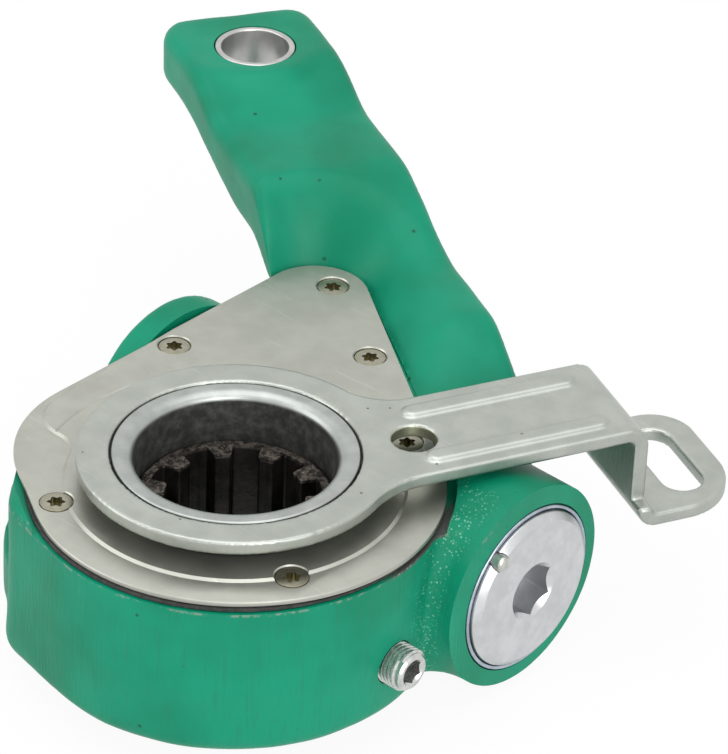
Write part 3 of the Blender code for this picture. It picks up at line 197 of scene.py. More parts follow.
# Small parts
SCREW_NAMES = [f"cover_screw_{i}" for i in range(1, 7)]
SCREW_HEAD_R = 3.5 * MM
SCREW_SHANK_R = 2.0 * MM
STAR_OUTER_R = 2.0 * MM
STAR_INNER_R = 1.4 * MM
STAR_DEPTH = 1.5 * MM
CAP_FACE_R = 16.7 * MM
CAP_RIM_R = 18.3 * MM
CAP_THREAD_R = 17.4 * MM
CAP_CHAMFER = 1.3 * MM
CAP_SOCKET_FLATS = 11.2 * MM
CAP_SOCKET_DEPTH = 9.0 * MM
CAP_MOUTH_R = 6.8 * MM
LIP_RING_R = 19.5 * MM
PIN_R = 1.9 * MM
PLUG_PITCH = 1.0 * MM
PLUG_THREAD_DEPTH = 0.55 * MM
PLUG_SOCKET_FLATS = 5.0 * MM
PLUG_SOCKET_DEPTH = 6.0 * MM
SPLINE_TEETH = 10
SPLINE_ROOT_R = 18.9 * MM
SPLINE_TIP_R = 15.1 * MM
SPLINE_TOOTH_BASE = 5.6 * MM
SPLINE_TOOTH_TIP = 3.6 * MM
WHEEL_MODULE = 2.5 * MM
WHEEL_TEETH = 22
WHEEL_WIDTH = 20.0 * MM
WHEEL_BACKLASH = 1.8 * MM
WHEEL_ROOT_DEPTH = WHEEL_MODULE * 1.24
WORM_PITCH_R = 11.6 * MM
PRESSURE_ANGLE = math.radians(20.0)
HUB_INNER_R = 21.9 * MM
HUB_ROLL = 2.6 * MM


def box_of(name):
    """The low corner, the high corner and the middle of a CAD node."""
    low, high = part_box(name)
    return low, high, (low + high) / 2


# Outlines

def arc(centre, radius, start, end, steps):
    points = []
    for i in range(steps + 1):
        angle = start + (end - start) * i / steps
        points.append((centre[0] + radius * math.cos(angle), centre[1] + radius * math.sin(angle)))
    return points


def circle(centre, radius, steps):
    return arc(centre, radius, 0.0, FULL_TURN, steps)[:-1]


def belt(discs, degrees_per_point=4.0, counts=None):
    """Outline pulled round discs listed counter-clockwise; a negative radius is a hollow corner.

    With counts each disc has a fixed number of points, so that sections can be lofted.
    """
    count = len(discs)
    leave = []
    for i in range(count):
        x0, y0, r0 = discs[i]
        x1, y1, r1 = discs[(i + 1) % count]
        heading = math.atan2(y1 - y0, x1 - x0)
        leave.append(heading - math.acos((r0 - r1) / math.hypot(x1 - x0, y1 - y0)))
    points = []
    for i in range(count):
        x, y, radius = discs[i]
        turn = (leave[i] - leave[i - 1]) % FULL_TURN
        if radius < 0.0:
            turn -= FULL_TURN
        steps = counts[i] if counts else max(2, int(abs(math.degrees(turn)) / degrees_per_point))
        points += arc((x, y), radius, leave[i - 1], leave[i - 1] + turn, steps)
    return points


def evenly(points, spacing):
    """The same outline with points at an even spacing."""
    result = []
    for i, start in enumerate(points):
        end = points[(i + 1) % len(points)]
        steps = max(1, int(math.dist(start, end) / spacing))
        for k in range(steps):
            t = k / steps
            result.append((start[0] + (end[0] - start[0]) * t, start[1] + (end[1] - start[1]) * t))
    return result


def grown(discs, amounts):
    return [(x, y, r + a) for (x, y, r), a in zip(discs, amounts)]


def softened(points, radius, steps=4, closed=True):
    """An outline with each corner rounded, as far as its sides allow; points on the axis are kept."""
    count = len(points)
    result = []
    for i, point in enumerate(points):
        here = Vector(point)
        before = Vector(points[i - 1]) - here
        after = Vector(points[(i + 1) % count]) - here
        on_end = not closed and i in (0, count - 1)
        bend = HALF_TURN - before.angle(after) if before.length and after.length else 0.0
        if on_end or bend < 0.05 or bend > 3.0:
            result.append(tuple(here))
            continue
        reach = min(radius * math.tan(bend / 2), 0.45 * before.length, 0.45 * after.length)
        start = here + before.normalized() * reach
        end = here + after.normalized() * reach
        for k in range(steps + 1):
            t = k / steps
            mixed = start * (1 - t) ** 2 + here * (2 * t * (1 - t)) + end * t * t
            result.append(tuple(mixed))
    return result


def hexagon(across_flats):
    return circle((0.0, 0.0), across_flats / math.sqrt(3.0), 6)


# Solids made with mesh operators

def plate(outline, low, high):
    """A prism of an outline in XY between two heights."""
    bm = bmesh.new()
    bottom = bm.faces.new([bm.verts.new((x, y, low)) for x, y in outline])
    raised = bmesh.ops.extrude_face_region(bm, geom=[bottom])
    verts = [g for g in raised["geom"] if isinstance(g, bmesh.types.BMVert)]
    bmesh.ops.translate(bm, verts=verts, vec=(0, 0, high - low))
    bmesh.ops.recalc_face_normals(bm, faces=bm.faces)
    return bm


def lathe(profile, steps=96):
    """A turned solid from a closed (radius, height) profile, or one that ends on the axis."""
    bm = bmesh.new()
    line = [bm.verts.new((r, 0.0, z)) for r, z in profile]
    edges = [bm.edges.new(pair) for pair in zip(line, line[1:])]
    if profile[0][0] > 0.0:
        edges.append(bm.edges.new((line[-1], line[0])))
    bmesh.ops.spin(bm, geom=line + edges, cent=(0, 0, 0), axis=(0, 0, 1), dvec=(0, 0, 0),
                   angle=FULL_TURN, steps=steps, use_merge=True, use_duplicate=False)
    bmesh.ops.remove_doubles(bm, verts=bm.verts, dist=1e-7)
    bmesh.ops.recalc_face_normals(bm, faces=bm.faces)
    return bm


def loft(sections):
    """A closed solid through outlines of equal length, each with its height, from low to high."""
    bm = bmesh.new()
    loops = []
    for outline, z in sections:
        verts = [bm.verts.new((x, y, z)) for x, y in outline]
        loops.append([bm.edges.new((verts[i - 1], verts[i])) for i in range(len(verts))])
    for lower, upper in zip(loops, loops[1:]):
        bmesh.ops.bridge_loops(bm, edges=lower + upper)
    for end in (loops[0], loops[-1]):
        bmesh.ops.contextual_create(bm, geom=end)
    bmesh.ops.recalc_face_normals(bm, faces=bm.faces)
    return bm


def block(low, high):
    outline = [(low[0], low[1]), (high[0], low[1]), (high[0], high[1]), (low[0], high[1])]
    return plate(outline, low[2], high[2])


def placed(bm, matrix):
    bmesh.ops.transform(bm, matrix=matrix, verts=bm.verts)
    return bm


def along_x(bm, y=WORM_Y, z=WORM_Z):
    """Stands a turned solid's own Z along world X, on the line through y and z."""
    return placed(bm, Matrix.Translation((0, y, z)) @ Matrix.Rotation(QUARTER, 4, "Y"))


def working_object(bm):
    mesh = bpy.data.meshes.new("working")
    bm.to_mesh(mesh)
    bm.free()
    thing = bpy.data.objects.new("working", mesh)
    bpy.context.scene.collection.objects.link(thing)
    return thing


def with_modifiers(bm, steps, tools=()):
    """The bmesh after a list of (modifier type, settings)."""
    thing = working_object(bm)
    for kind, settings in steps:
        modifier = thing.modifiers.new(kind.lower(), kind)
        for name, value in settings.items():
            setattr(modifier, name, value)
    graph = bpy.context.evaluated_depsgraph_get()
    mesh = bpy.data.meshes.new_from_object(thing.evaluated_get(graph))
    result = bmesh.new()
    result.from_mesh(mesh)
    for used in [thing, *tools]:
        old = used.data
        bpy.data.objects.remove(used)
        bpy.data.meshes.remove(old)
    bpy.data.meshes.remove(mesh)
    return result


def boolean(bm, operation, *others):
    tools = [working_object(other) for other in others]
    steps = []
    for tool in tools:
        steps.append(("BOOLEAN", {"operation": operation, "solver": "EXACT", "object": tool}))
    return with_modifiers(bm, steps, tools)


def cut(bm, *others):
    return boolean(bm, "DIFFERENCE", *others)


def join(bm, *others):
    return boolean(bm, "UNION", *others)


def skinned(bm, voxel, smoothing, regained):
    """An even quad skin over a solid, with eased corners; regained is what the easing took off the rest."""
    steps = [("REMESH", {"mode": "VOXEL", "voxel_size": voxel})]
    steps.append(("SMOOTH", {"factor": 0.5, "iterations": smoothing}))
    bm = with_modifiers(bm, steps)
    bm.normal_update()
    for v in bm.verts:
        v.co += v.normal * regained
    return bm


def uneven(bm, amount, wavelength, seed):
    """Moves a skin in and out by smooth noise, as an uneven cast or rolled surface."""
    offset = Vector((seed, seed * 2.0, seed * 3.0))
    bm.normal_update()
    for v in bm.verts:
        v.co += v.normal * amount * noise.noise(v.co / wavelength + offset)
    return bm


def finished(name, bm, material, body, nodes, sharp_degrees=30.0):
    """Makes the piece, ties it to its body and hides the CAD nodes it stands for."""
    mesh = bpy.data.meshes.new(name)
    bm.normal_update()
    bm.to_mesh(mesh)
    bm.free()
    mesh.shade_smooth()
    mesh.set_sharp_from_angle(angle=math.radians(sharp_degrees))
    mesh.materials.append(material)
    thing = bpy.data.objects.new(name, mesh)
    bpy.context.scene.collection.objects.link(thing)
    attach(thing, body)
    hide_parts(*nodes)
    return thing


# Shader nodes

class Wire:
    """A socket of a material, with arithmetic that adds Math nodes."""

    def __init__(self, finish, socket):
        self.finish = finish
        self.socket = socket

    def maths(self, operation, *values):
        inputs = {i: value for i, value in enumerate(values)}
        return self.finish.node("ShaderNodeMath", {"operation": operation}, inputs)

    def __add__(self, other):
        return self.maths("ADD", self, other)

    def __radd__(self, other):
        return self.maths("ADD", other, self)

    def __sub__(self, other):
        return self.maths("SUBTRACT", self, other)

    def __rsub__(self, other):
        return self.maths("SUBTRACT", other, self)

    def __mul__(self, other):
        return self.maths("MULTIPLY", self, other)

    def __rmul__(self, other):
        return self.maths("MULTIPLY", other, self)

    def __truediv__(self, other):
        return self.maths("DIVIDE", self, other)

    def __pow__(self, other):
        return self.maths("POWER", self, other)

    def __abs__(self):
        return self.maths("ABSOLUTE", self)

    def root(self):
        return self.maths("SQRT", self)

    def greater(self, other):
        return self.maths("MAXIMUM", self, other)

    def rise(self, start, end):
        """0 below start and 1 above end, smoothly; the other way round when end is below start."""
        settings = {"interpolation_type": "SMOOTHSTEP", "clamp": True}
        low, high = min(start, end), max(start, end)
        ends = (0.0, 1.0) if start < end else (1.0, 0.0)
        inputs = {"Value": self, "From Min": low, "From Max": high, "To Min": ends[0], "To Max": ends[1]}
        return self.finish.node("ShaderNodeMapRange", settings, inputs)


class Finish:
    """A material and the nodes of its tree. Lengths in its patterns are millimetres."""

    def __init__(self, name):
        self.material = bpy.data.materials.new(name)
        self.material.use_nodes = True
        self.tree = self.material.node_tree
        self.shader = self.tree.nodes["Principled BSDF"]
        coordinates = self.node("ShaderNodeTexCoord", {}, {}, "Object")
        self.place = self.vector("SCALE", coordinates, scale=1 / MM)
        self.normal = self.node("ShaderNodeTexCoord", {}, {}, "Normal")
        self.x, self.y, self.z = self.split(self.place)

    def node(self, kind, settings, inputs, output=0):
        made = self.tree.nodes.new(kind)
        for name, value in settings.items():
            if name == "stops":
                self.set_stops(made.color_ramp, value)
            else:
                setattr(made, name, value)
        for name, value in inputs.items():
            self.feed(made.inputs[name], value)
        return Wire(self, made.outputs[output])

    def set_stops(self, ramp, stops):
        while len(ramp.elements) < len(stops):
            ramp.elements.new(0.5)
        for element, (position, colour) in zip(ramp.elements, stops):
            element.position = position
            element.color = (*colour, 1.0)

    def feed(self, socket, value):
        if isinstance(value, Wire):
            self.tree.links.new(value.socket, socket)
        elif isinstance(value, tuple) and len(value) == 3 and socket.type == "RGBA":
            socket.default_value = (*value, 1.0)
        else:
            socket.default_value = value

    def vector(self, operation, first, second=None, scale=None):
        inputs = {0: first}
        if second is not None:
            inputs[1] = second
        if scale is not None:
            inputs["Scale"] = scale
        return self.node("ShaderNodeVectorMath", {"operation": operation}, inputs)

    def split(self, wire):
        made = self.tree.nodes.new("ShaderNodeSeparateXYZ")
        self.feed(made.inputs[0], wire)
        return [Wire(self, output) for output in made.outputs]

    def moved(self, centre=(0.0, 0.0, 0.0), turn=(0.0, 0.0, 0.0), stretch=(1.0, 1.0, 1.0)):
        """The place in millimetres after Mapping: turned about a centre, then stretched."""
        shifted = self.vector("SUBTRACT", self.place, centre)
        inputs = {"Vector": shifted, "Rotation": turn, "Scale": stretch}
        return self.node("ShaderNodeMapping", {"vector_type": "POINT"}, inputs)

    def noise(self, size, detail=2.0, roughness=0.5, at=None):
        """Smooth noise from 0 to 1 with features of about that size in millimetres."""
        inputs = {"Vector": self.place if at is None else at, "Scale": 1.0 / size, "Detail": detail,
                  "Roughness": roughness}
        return self.node("ShaderNodeTexNoise", {}, inputs)

    def cells(self, size, at=None, randomness=1.0):
        inputs = {"Vector": self.place if at is None else at, "Scale": 1.0 / size,
                  "Randomness": randomness}
        return self.node("ShaderNodeTexVoronoi", {"feature": "F1"}, inputs)

    def mix(self, factor, first, second):
        made = self.tree.nodes.new("ShaderNodeMix")
        made.data_type = "RGBA"
        made.clamp_factor = True
        self.feed(made.inputs[0], factor)
        self.feed(made.inputs[6], first)
        self.feed(made.inputs[7], second)
        return Wire(self, made.outputs[2])

    def bump(self, height, strength=1.0):
        """Relief from a height in millimetres."""
        inputs = {"Height": height, "Strength": strength, "Distance": MM}
        return self.node("ShaderNodeBump", {}, inputs)

    def set(self, **values):
        for name, value in values.items():
            self.feed(self.shader.inputs[name.replace("_", " ")], value)
        return self.material


# Finishes

PAINT_DEEP = (0.0012, 0.190, 0.100)
PAINT_BRIGHT = (0.004, 0.255, 0.145)
PAINT_THIN = (0.018, 0.150, 0.088)
BARE_CASTING = (0.085, 0.088, 0.082)
BARE_EDGE = (0.42, 0.40, 0.37)
PIT_COLOUR = (0.012, 0.060, 0.040)


def green_enamel():
    """Semi-gloss enamel sprayed over a rough casting."""
    coat = Finish("green_enamel")
    nz = coat.split(coat.normal)[2]
    wall = abs(nz).rise(0.75, 0.25)
    radius = (coat.x * coat.x + coat.y * coat.y).root()
    head_wall = wall * radius.rise(62.0, 54.0) * coat.y.rise(30.0, 18.0)

    broad = coat.noise(28.0, 3.0, 0.55)
    patch = coat.noise(6.5, 3.0, 0.6)
    peel = coat.noise(0.85, 2.0, 0.5)
    cast = coat.noise(3.2, 4.0, 0.62)
    streak_place = coat.moved(stretch=(1.15, 1.15, 0.055))
    streaks = coat.noise(1.0, 4.0, 0.65, streak_place)

    pit_cells = coat.cells(5.5)
    pit_gate = coat.noise(9.0, 2.0, 0.5).rise(0.52, 0.62)
    pits = pit_cells.rise(0.10, 0.05) * pit_gate
    speck_cells = coat.cells(2.6)
    specks = speck_cells.rise(0.075, 0.045) * coat.noise(15.0, 2.0, 0.5).rise(0.55, 0.66)

    axis_y = coat.y - (WORM_Y + BARREL_SHIFT_Y) / MM
    axis_z = coat.z - WORM_Z / MM
    from_worm = (axis_y * axis_y + axis_z * axis_z).root()
    flare = from_worm.rise(23.5, 25.5) * from_worm.rise(33.0, 29.0) * coat.x.rise(33.0, 37.0)
    flare = flare * coat.x.rise(48.2, 46.0) * coat.y.rise(36.0, 30.0)
    grit = coat.noise(0.55, 3.0, 0.7)
    glints = coat.cells(0.8).rise(0.34, 0.16) * coat.noise(3.0, 2.0, 0.6).rise(0.34, 0.52) * flare

    face = coat.x.rise(48.0, 49.0)
    flat = face.greater(abs(nz).rise(0.95, 0.995) * 0.75)
    rough_cast = 1.0 - flat * 0.75

    colour = coat.mix(broad.rise(0.30, 0.70), PAINT_DEEP, PAINT_BRIGHT)
    colour = coat.mix(streaks.rise(0.52, 0.78) * head_wall * 0.55, colour, PAINT_THIN)
    colour = coat.mix(patch.rise(0.58, 0.80) * 0.25, colour, PAINT_BRIGHT)
    colour = coat.mix(glints * 0.75, colour, (0.20, 0.50, 0.36))
    colour = coat.mix((pits * 0.8).greater(specks * 0.7), colour, PIT_COLOUR)

    rim = coat.z.rise(35.6, 36.7) * head_wall.greater(wall * coat.y.rise(30.0, 18.0))
    chips = rim * coat.noise(2.2, 4.0, 0.7).rise(0.50, 0.58) * coat.z.rise(35.9, 36.6)
    in_band = coat.x.rise(34.0, 38.0) * coat.y.rise(-4.0, 4.0) * coat.y.rise(34.0, 27.0)
    ledge_edge = COVER_DISCS[1][2] / MM + FACE_CUT_MARGINS[1] / MM
    ledge = radius.rise(ledge_edge + 1.6, ledge_edge + 0.5) * coat.z.rise(36.0, 36.6)
    ragged = coat.noise(1.6, 4.0, 0.7)
    bare = ledge * in_band * ragged.rise(0.30, 0.42)
    colour = coat.mix(bare, colour, BARE_CASTING)
    colour = coat.mix(chips * 0.55, colour, BARE_EDGE)

    height = streaks * head_wall * 0.16 + cast * rough_cast * 0.085 + peel * 0.010
    height = height + grit * flare * 0.20 - pits * 0.14 - specks * 0.06 - chips * 0.04
    height = height + ragged * bare * 0.10
    gloss = 0.36 + patch * 0.10 + streaks * head_wall * 0.10 + bare * 0.2 - face * 0.02
    return coat.set(Base_Color=colour, Roughness=gloss, Metallic=(chips * 0.8).greater(bare * 0.55),
                    Normal=coat.bump(height), Specular_IOR_Level=0.17)


def zinc(name, light, dark, rough=0.36, grain_turn=0.0, grain_depth=0.004, blotch=7.0):
    """Zinc plate on rolled sheet: a fine straight grain, soft blotches and a few scratches."""
    coat = Finish(name)
    grain_place = coat.moved(turn=(0.0, 0.0, grain_turn), stretch=(0.09, 2.6, 2.6))
    grain = coat.noise(1.0, 3.0, 0.6, grain_place)
    clouds = coat.noise(blotch, 4.0, 0.6)
    mist = coat.noise(1.1, 3.0, 0.6)
    scratch_place = coat.moved(turn=(0.0, 0.0, grain_turn + 0.9), stretch=(0.05, 1.4, 1.0))
    scratches = coat.noise(1.0, 1.0, 0.4, scratch_place).rise(0.70, 0.76)
    colour = coat.mix(clouds.rise(0.30, 0.72), dark, light)
    colour = coat.mix(mist.rise(0.62, 0.80) * 0.35, colour, dark)
    colour = coat.mix(scratches * 0.12, colour, (0.80, 0.80, 0.78))
    gloss = rough + (clouds - 0.5) * 0.12 + (grain - 0.5) * 0.08 - scratches * 0.06
    height = grain * grain_depth + mist * 0.006 - scratches * 0.008
    return coat, colour, gloss, height


def cover_zinc():
    coat, colour, gloss, height = zinc("cover_zinc", (0.455, 0.458, 0.408), (0.405, 0.408, 0.364), 0.40,
                                       math.radians(35.0), 0.006)
    stain = coat.noise(13.0, 3.0, 0.6).rise(0.60, 0.76)
    colour = coat.mix(stain * 0.25, colour, (0.36, 0.345, 0.30))
    return coat.set(Base_Color=colour, Roughness=gloss, Metallic=0.92, Normal=coat.bump(height))


def control_arm_zinc():
    coat, colour, gloss, height = zinc(
        "control_arm_zinc", (0.440, 0.465, 0.425), (0.385, 0.408, 0.375), 0.36,
        STRIP_ANGLE, 0.005)
    nz = coat.split(coat.normal)[2]
    sheared = abs(nz).rise(0.5, 0.2)
    tear_place = coat.moved(stretch=(1.6, 1.6, 0.35))
    tears = coat.noise(1.0, 4.0, 0.7, tear_place)
    colour = coat.mix(tears.rise(0.56, 0.70) * sheared * 0.35, colour, (0.33, 0.34, 0.33))
    specks = coat.cells(7.0).rise(0.055, 0.035)
    colour = coat.mix(specks * 0.8, colour, (0.10, 0.09, 0.06))
    from_hole_x = coat.x - ACCESS_HOLE[0] / MM
    from_hole_y = coat.y - ACCESS_HOLE[1] / MM
    from_hole = (from_hole_x * from_hole_x + from_hole_y * from_hole_y).root()
    colour = coat.mix(from_hole.rise(5.6, 5.0) * sheared * 0.6, colour, (0.40, 0.40, 0.24))
    height = height + tears * sheared * 0.09
    return coat.set(Base_Color=colour, Roughness=gloss + sheared * 0.06, Metallic=0.92,
                    Normal=coat.bump(height))


def turned_metal(name, light, dark, rough, centre=None, depth=0.006, dark_below=None):
    """Machined metal with fine rings about Z, or about a line along X through centre (y, z)."""
    coat = Finish(name)
    if centre is None:
        first, second = coat.x, coat.y
    else:
        first = coat.y - centre[0] / MM
        second = coat.z - centre[1] / MM
    radius = (first * first + second * second).root()
    height_place = coat.z if centre is None else coat.x
    lines = coat.node("ShaderNodeCombineXYZ", {}, {0: radius * 3.4, 1: height_place * 3.4})
    rings = coat.noise(1.0, 3.0, 0.6, lines)
    clouds = coat.noise(4.5, 4.0, 0.6)
    mist = coat.noise(0.8, 2.0, 0.5)
    colour = coat.mix(clouds.rise(0.32, 0.70), dark, light)
    gloss = rough + (clouds - 0.5) * 0.14 + (rings - 0.5) * 0.10
    metallic = 0.95
    if dark_below is not None:
        # Down inside the bore: painted shade, near black and mottled, over a rougher, less metallic grease
        # film.
        inside = coat.z.rise(dark_below + 0.5, dark_below - 0.3) * radius.rise(24.0, 22.6)
        grease = coat.noise(2.4, 4.0, 0.65)
        shade_and_grease = coat.mix(grease.rise(0.35, 0.75), (0.055, 0.057, 0.052), (0.140, 0.142, 0.128))
        colour = coat.mix(inside, colour, shade_and_grease)
        gloss = gloss + inside * 0.10
        metallic = 0.95 - inside * 0.45
    height = rings * depth + mist * 0.004
    return coat.set(Base_Color=colour, Roughness=gloss, Metallic=metallic, Normal=coat.bump(height))


def greasy_steel():
    """Dark hardened steel under a lumpy film of grease."""
    coat = Finish("greasy_steel")
    radius = (coat.x * coat.x + coat.y * coat.y).root()
    lumps = coat.noise(1.7, 5.0, 0.7)
    film = coat.noise(5.0, 3.0, 0.6)
    top = coat.z.rise(34.6, 35.3)
    smear = top * lumps.rise(0.42, 0.62)
    colour = coat.mix(film.rise(0.35, 0.70), (0.010, 0.009, 0.008), (0.030, 0.027, 0.024))
    colour = coat.mix(smear * 0.85, colour, (0.17, 0.145, 0.120))
    glint = coat.cells(0.8).rise(0.20, 0.08) * top * radius.rise(21.5, 19.0)
    colour = coat.mix(glint * 0.6, colour, (0.55, 0.50, 0.45))
    height = lumps * (0.10 + top * 0.30) + film * 0.08
    return coat.set(Base_Color=colour, Roughness=0.26 + film * 0.20, Metallic=0.55,
                    Normal=coat.bump(height))


def fastener_zinc():
    """Zinc plate, with painted shade in dark olive down in the drive socket."""
    coat = Finish("fastener_zinc")
    clouds = coat.noise(1.5, 4.0, 0.6)
    colour = coat.mix(clouds.rise(0.32, 0.70), (0.39, 0.385, 0.345), (0.50, 0.49, 0.44))
    # Painted shade: dark olive down in the socket.
    socket_shade = coat.z.rise(COVER_TOP_Z / MM - 0.15, COVER_TOP_Z / MM - 0.5)
    colour = coat.mix(socket_shade * 0.85, colour, (0.22, 0.20, 0.10))
    return coat.set(Base_Color=colour, Roughness=0.32 + (clouds - 0.5) * 0.14, Metallic=0.95)


def plain_metal(name, light, dark, rough, size=3.0, metallic=0.95, depth=0.01):
    coat = Finish(name)
    clouds = coat.noise(size, 4.0, 0.6)
    mist = coat.noise(size / 5.0, 2.0, 0.5)
    colour = coat.mix(clouds.rise(0.32, 0.70), dark, light)
    return coat.set(Base_Color=colour, Roughness=rough + (clouds - 0.5) * 0.14, Metallic=metallic,
                    Normal=coat.bump(mist * depth))


def soft_dark(name, light, dark, rough, depth):
    coat = Finish(name)
    grain = coat.noise(1.2, 4.0, 0.6)
    colour = coat.mix(grain.rise(0.35, 0.70), dark, light)
    return coat.set(Base_Color=colour, Roughness=rough + (grain - 0.5) * 0.1, Metallic=0.0,
                    Normal=coat.bump(grain * depth))


# Housing

def smooth_step(value, start, end):
    t = min(1.0, max(0.0, (value - start) / (end - start)))
    return t * t * (3 - 2 * t)


def stepped(s, levels, ramps):
    height = levels[0]
    for i, ramp in enumerate(ramps):
        height += (levels[i + 1] - levels[i]) * smooth_step(s, *ramp)
    return height


def end_inset(distance, radius):
    """How far a rounded end draws in at a distance from its tip."""
    if distance >= radius:
        return 0.0
    return radius - math.sqrt(max(0.0, radius ** 2 - (radius - distance) ** 2))


def rounded_box(low_n, high_n, low_z, high_z, radius):
    corners = ((high_n, high_z, 0.0), (low_n, high_z, QUARTER), (low_n, low_z, HALF_TURN),
               (high_n, low_z, 1.5 * HALF_TURN))
    points = []
    for n, z, start in corners:
        centre_n = n - radius if n == high_n else n + radius
        centre_z = z - radius if z == high_z else z + radius
        points += arc((centre_n, centre_z), radius, start, start + QUARTER, 5)
    return points


def arm_blank():
    """The cranked lever arm, lofted through rounded sections along its length."""
    places = [ARM_START_S + (ARM_END_S - 10 * MM - ARM_START_S) * i / 68 for i in range(69)]
    places += [ARM_END_S - 10 * MM * math.cos(QUARTER * i / 16) for i in range(1, 16)]
    places.append(ARM_END_S - 0.05 * MM)
    low = ARM_CENTRE_N - ARM_WIDTH / 2
    high = ARM_CENTRE_N + ARM_WIDTH / 2
    sections = []
    for s in places:
        left = ARM_END_S - s
        draw = end_inset(left, ARM_EDGE_R)
        section = rounded_box(low + end_inset(left, ARM_LEFT_CORNER_R),
                              high - end_inset(left, ARM_RIGHT_CORNER_R),
                              stepped(s, ARM_UNDER_LEVELS, ARM_UNDER_RAMPS) + draw,
                              stepped(s, ARM_TOP_LEVELS, ARM_TOP_RAMPS) - draw, ARM_EDGE_R)
        sections.append((section, s))
    bm = loft(sections)
    for v in bm.verts:
        share = max(0.0, (v.co.z - ARM_END_S + 16 * MM) / (16 * MM))
        v.co.z += ARM_END_SKEW * (ARM_CENTRE_N - v.co.x) * share
    cos, sin = math.cos(ARM_ANGLE), math.sin(ARM_ANGLE)
    bm = placed(bm, Matrix(((sin, 0, cos, 0), (-cos, 0, sin, 0), (0, 1, 0, 0), (0, 0, 0, 1))))
    bmesh.ops.recalc_face_normals(bm, faces=bm.faces)
    return bm


def settle_arm(bm, outline):
    """Lets the arm's root rise out of the cover's ledge in a hollow sweep, and flattens the bush pad."""
    edge = kdtree.KDTree(len(outline))
    for i, (x, y) in enumerate(outline):
        edge.insert((x, y, 0.0), i)
    edge.balance()
    cos, sin = math.cos(ARM_ANGLE), math.sin(ARM_ANGLE)
    for v in bm.verts:
        x, y, z = v.co
        n = x * sin - y * cos
        s = x * cos + y * sin
        if z < HEAD_HEIGHT or n < ARM_CENTRE_N - ARM_WIDTH / 2 - 2 * MM:
            continue
        distance = edge.find((x, y, 0.0))[2]
        share = min(1.0, distance / ROOT_BLEND)
        held = 1 - (1 - share) ** 2
        keep = smooth_step(x, 0.0, 14 * MM)
        v.co.z = HEAD_HEIGHT + (z - HEAD_HEIGHT) * (held + (1 - held) * keep)
        top = stepped(s, ARM_TOP_LEVELS, ARM_TOP_RAMPS)
        from_bush = math.hypot(x - BUSH_X, y - BUSH_Y)
        if z > top - 4 * MM and from_bush < PAD_R + PAD_BLEND:
            v.co.z += (PAD_Z - top) * (1 - smooth_step(from_bush, PAD_R, PAD_R + PAD_BLEND))
    return bm


def head_blank():
    counts = (18, 10, 72, 20)
    sections = []
    for i in range(6):
        angle = QUARTER * i / 5
        inset = HEAD_EDGE_R * (1 - math.sin(angle))
        height = HEAD_EDGE_R * (1 - math.cos(angle))
        sections.append((belt(grown(HEAD_FOOT_DISCS, (-inset,) * 4), counts=counts), height))
    sections.append((belt(grown(HEAD_TOP_DISCS, HEAD_WAIST), counts=counts), HEAD_WAIST_Z))
    sections.append((belt(HEAD_TOP_DISCS, counts=counts), HEAD_HEIGHT + 2 * MM))
    return loft(sections)


def barrel_blank():
    beyond = 1.5 * MM
    edge = 1.0 * MM
    boss = (-BOSS_SHIFT_Z, BOSS_SHIFT_Y)
    sections = [
        (circle((0.0, 0.0), BARREL_R - edge, 120), BARREL_END_X),
        (circle((0.0, 0.0), BARREL_R, 120), BARREL_END_X + edge),
        (circle((0.0, 0.0), BARREL_R, 120), BOSS_TAPER_X),
        (circle(boss, BOSS_R, 120), BOSS_BACK_X),
        (circle(boss, BOSS_R, 120), BOSS_FACE_X + beyond),
    ]
    return along_x(loft(sections), WORM_Y + BARREL_SHIFT_Y)


def flare_blank():
    """The hollow fillet from the head's wall up to the boss face."""
    outer = BOSS_R + BOSS_FLARE_R
    root = BOSS_R - 3.0 * MM
    curve = arc((outer, BOSS_FACE_X), BOSS_FLARE_R, HALF_TURN, 1.5 * HALF_TURN, 12)
    profile = [(root, BOSS_FACE_X)] + curve + [(outer, BOSS_TAPER_X), (root, BOSS_TAPER_X)]
    flare = along_x(lathe(profile, 120), WORM_Y + BARREL_SHIFT_Y)
    keep = block((BOSS_TAPER_X - 2 * MM, -BOSS_R, HEAD_EDGE_R * 0.7),
                 (BOSS_FACE_X, WORM_Y - 6 * MM, HEAD_HEIGHT + 2 * MM))
    return boolean(flare, "INTERSECT", keep)


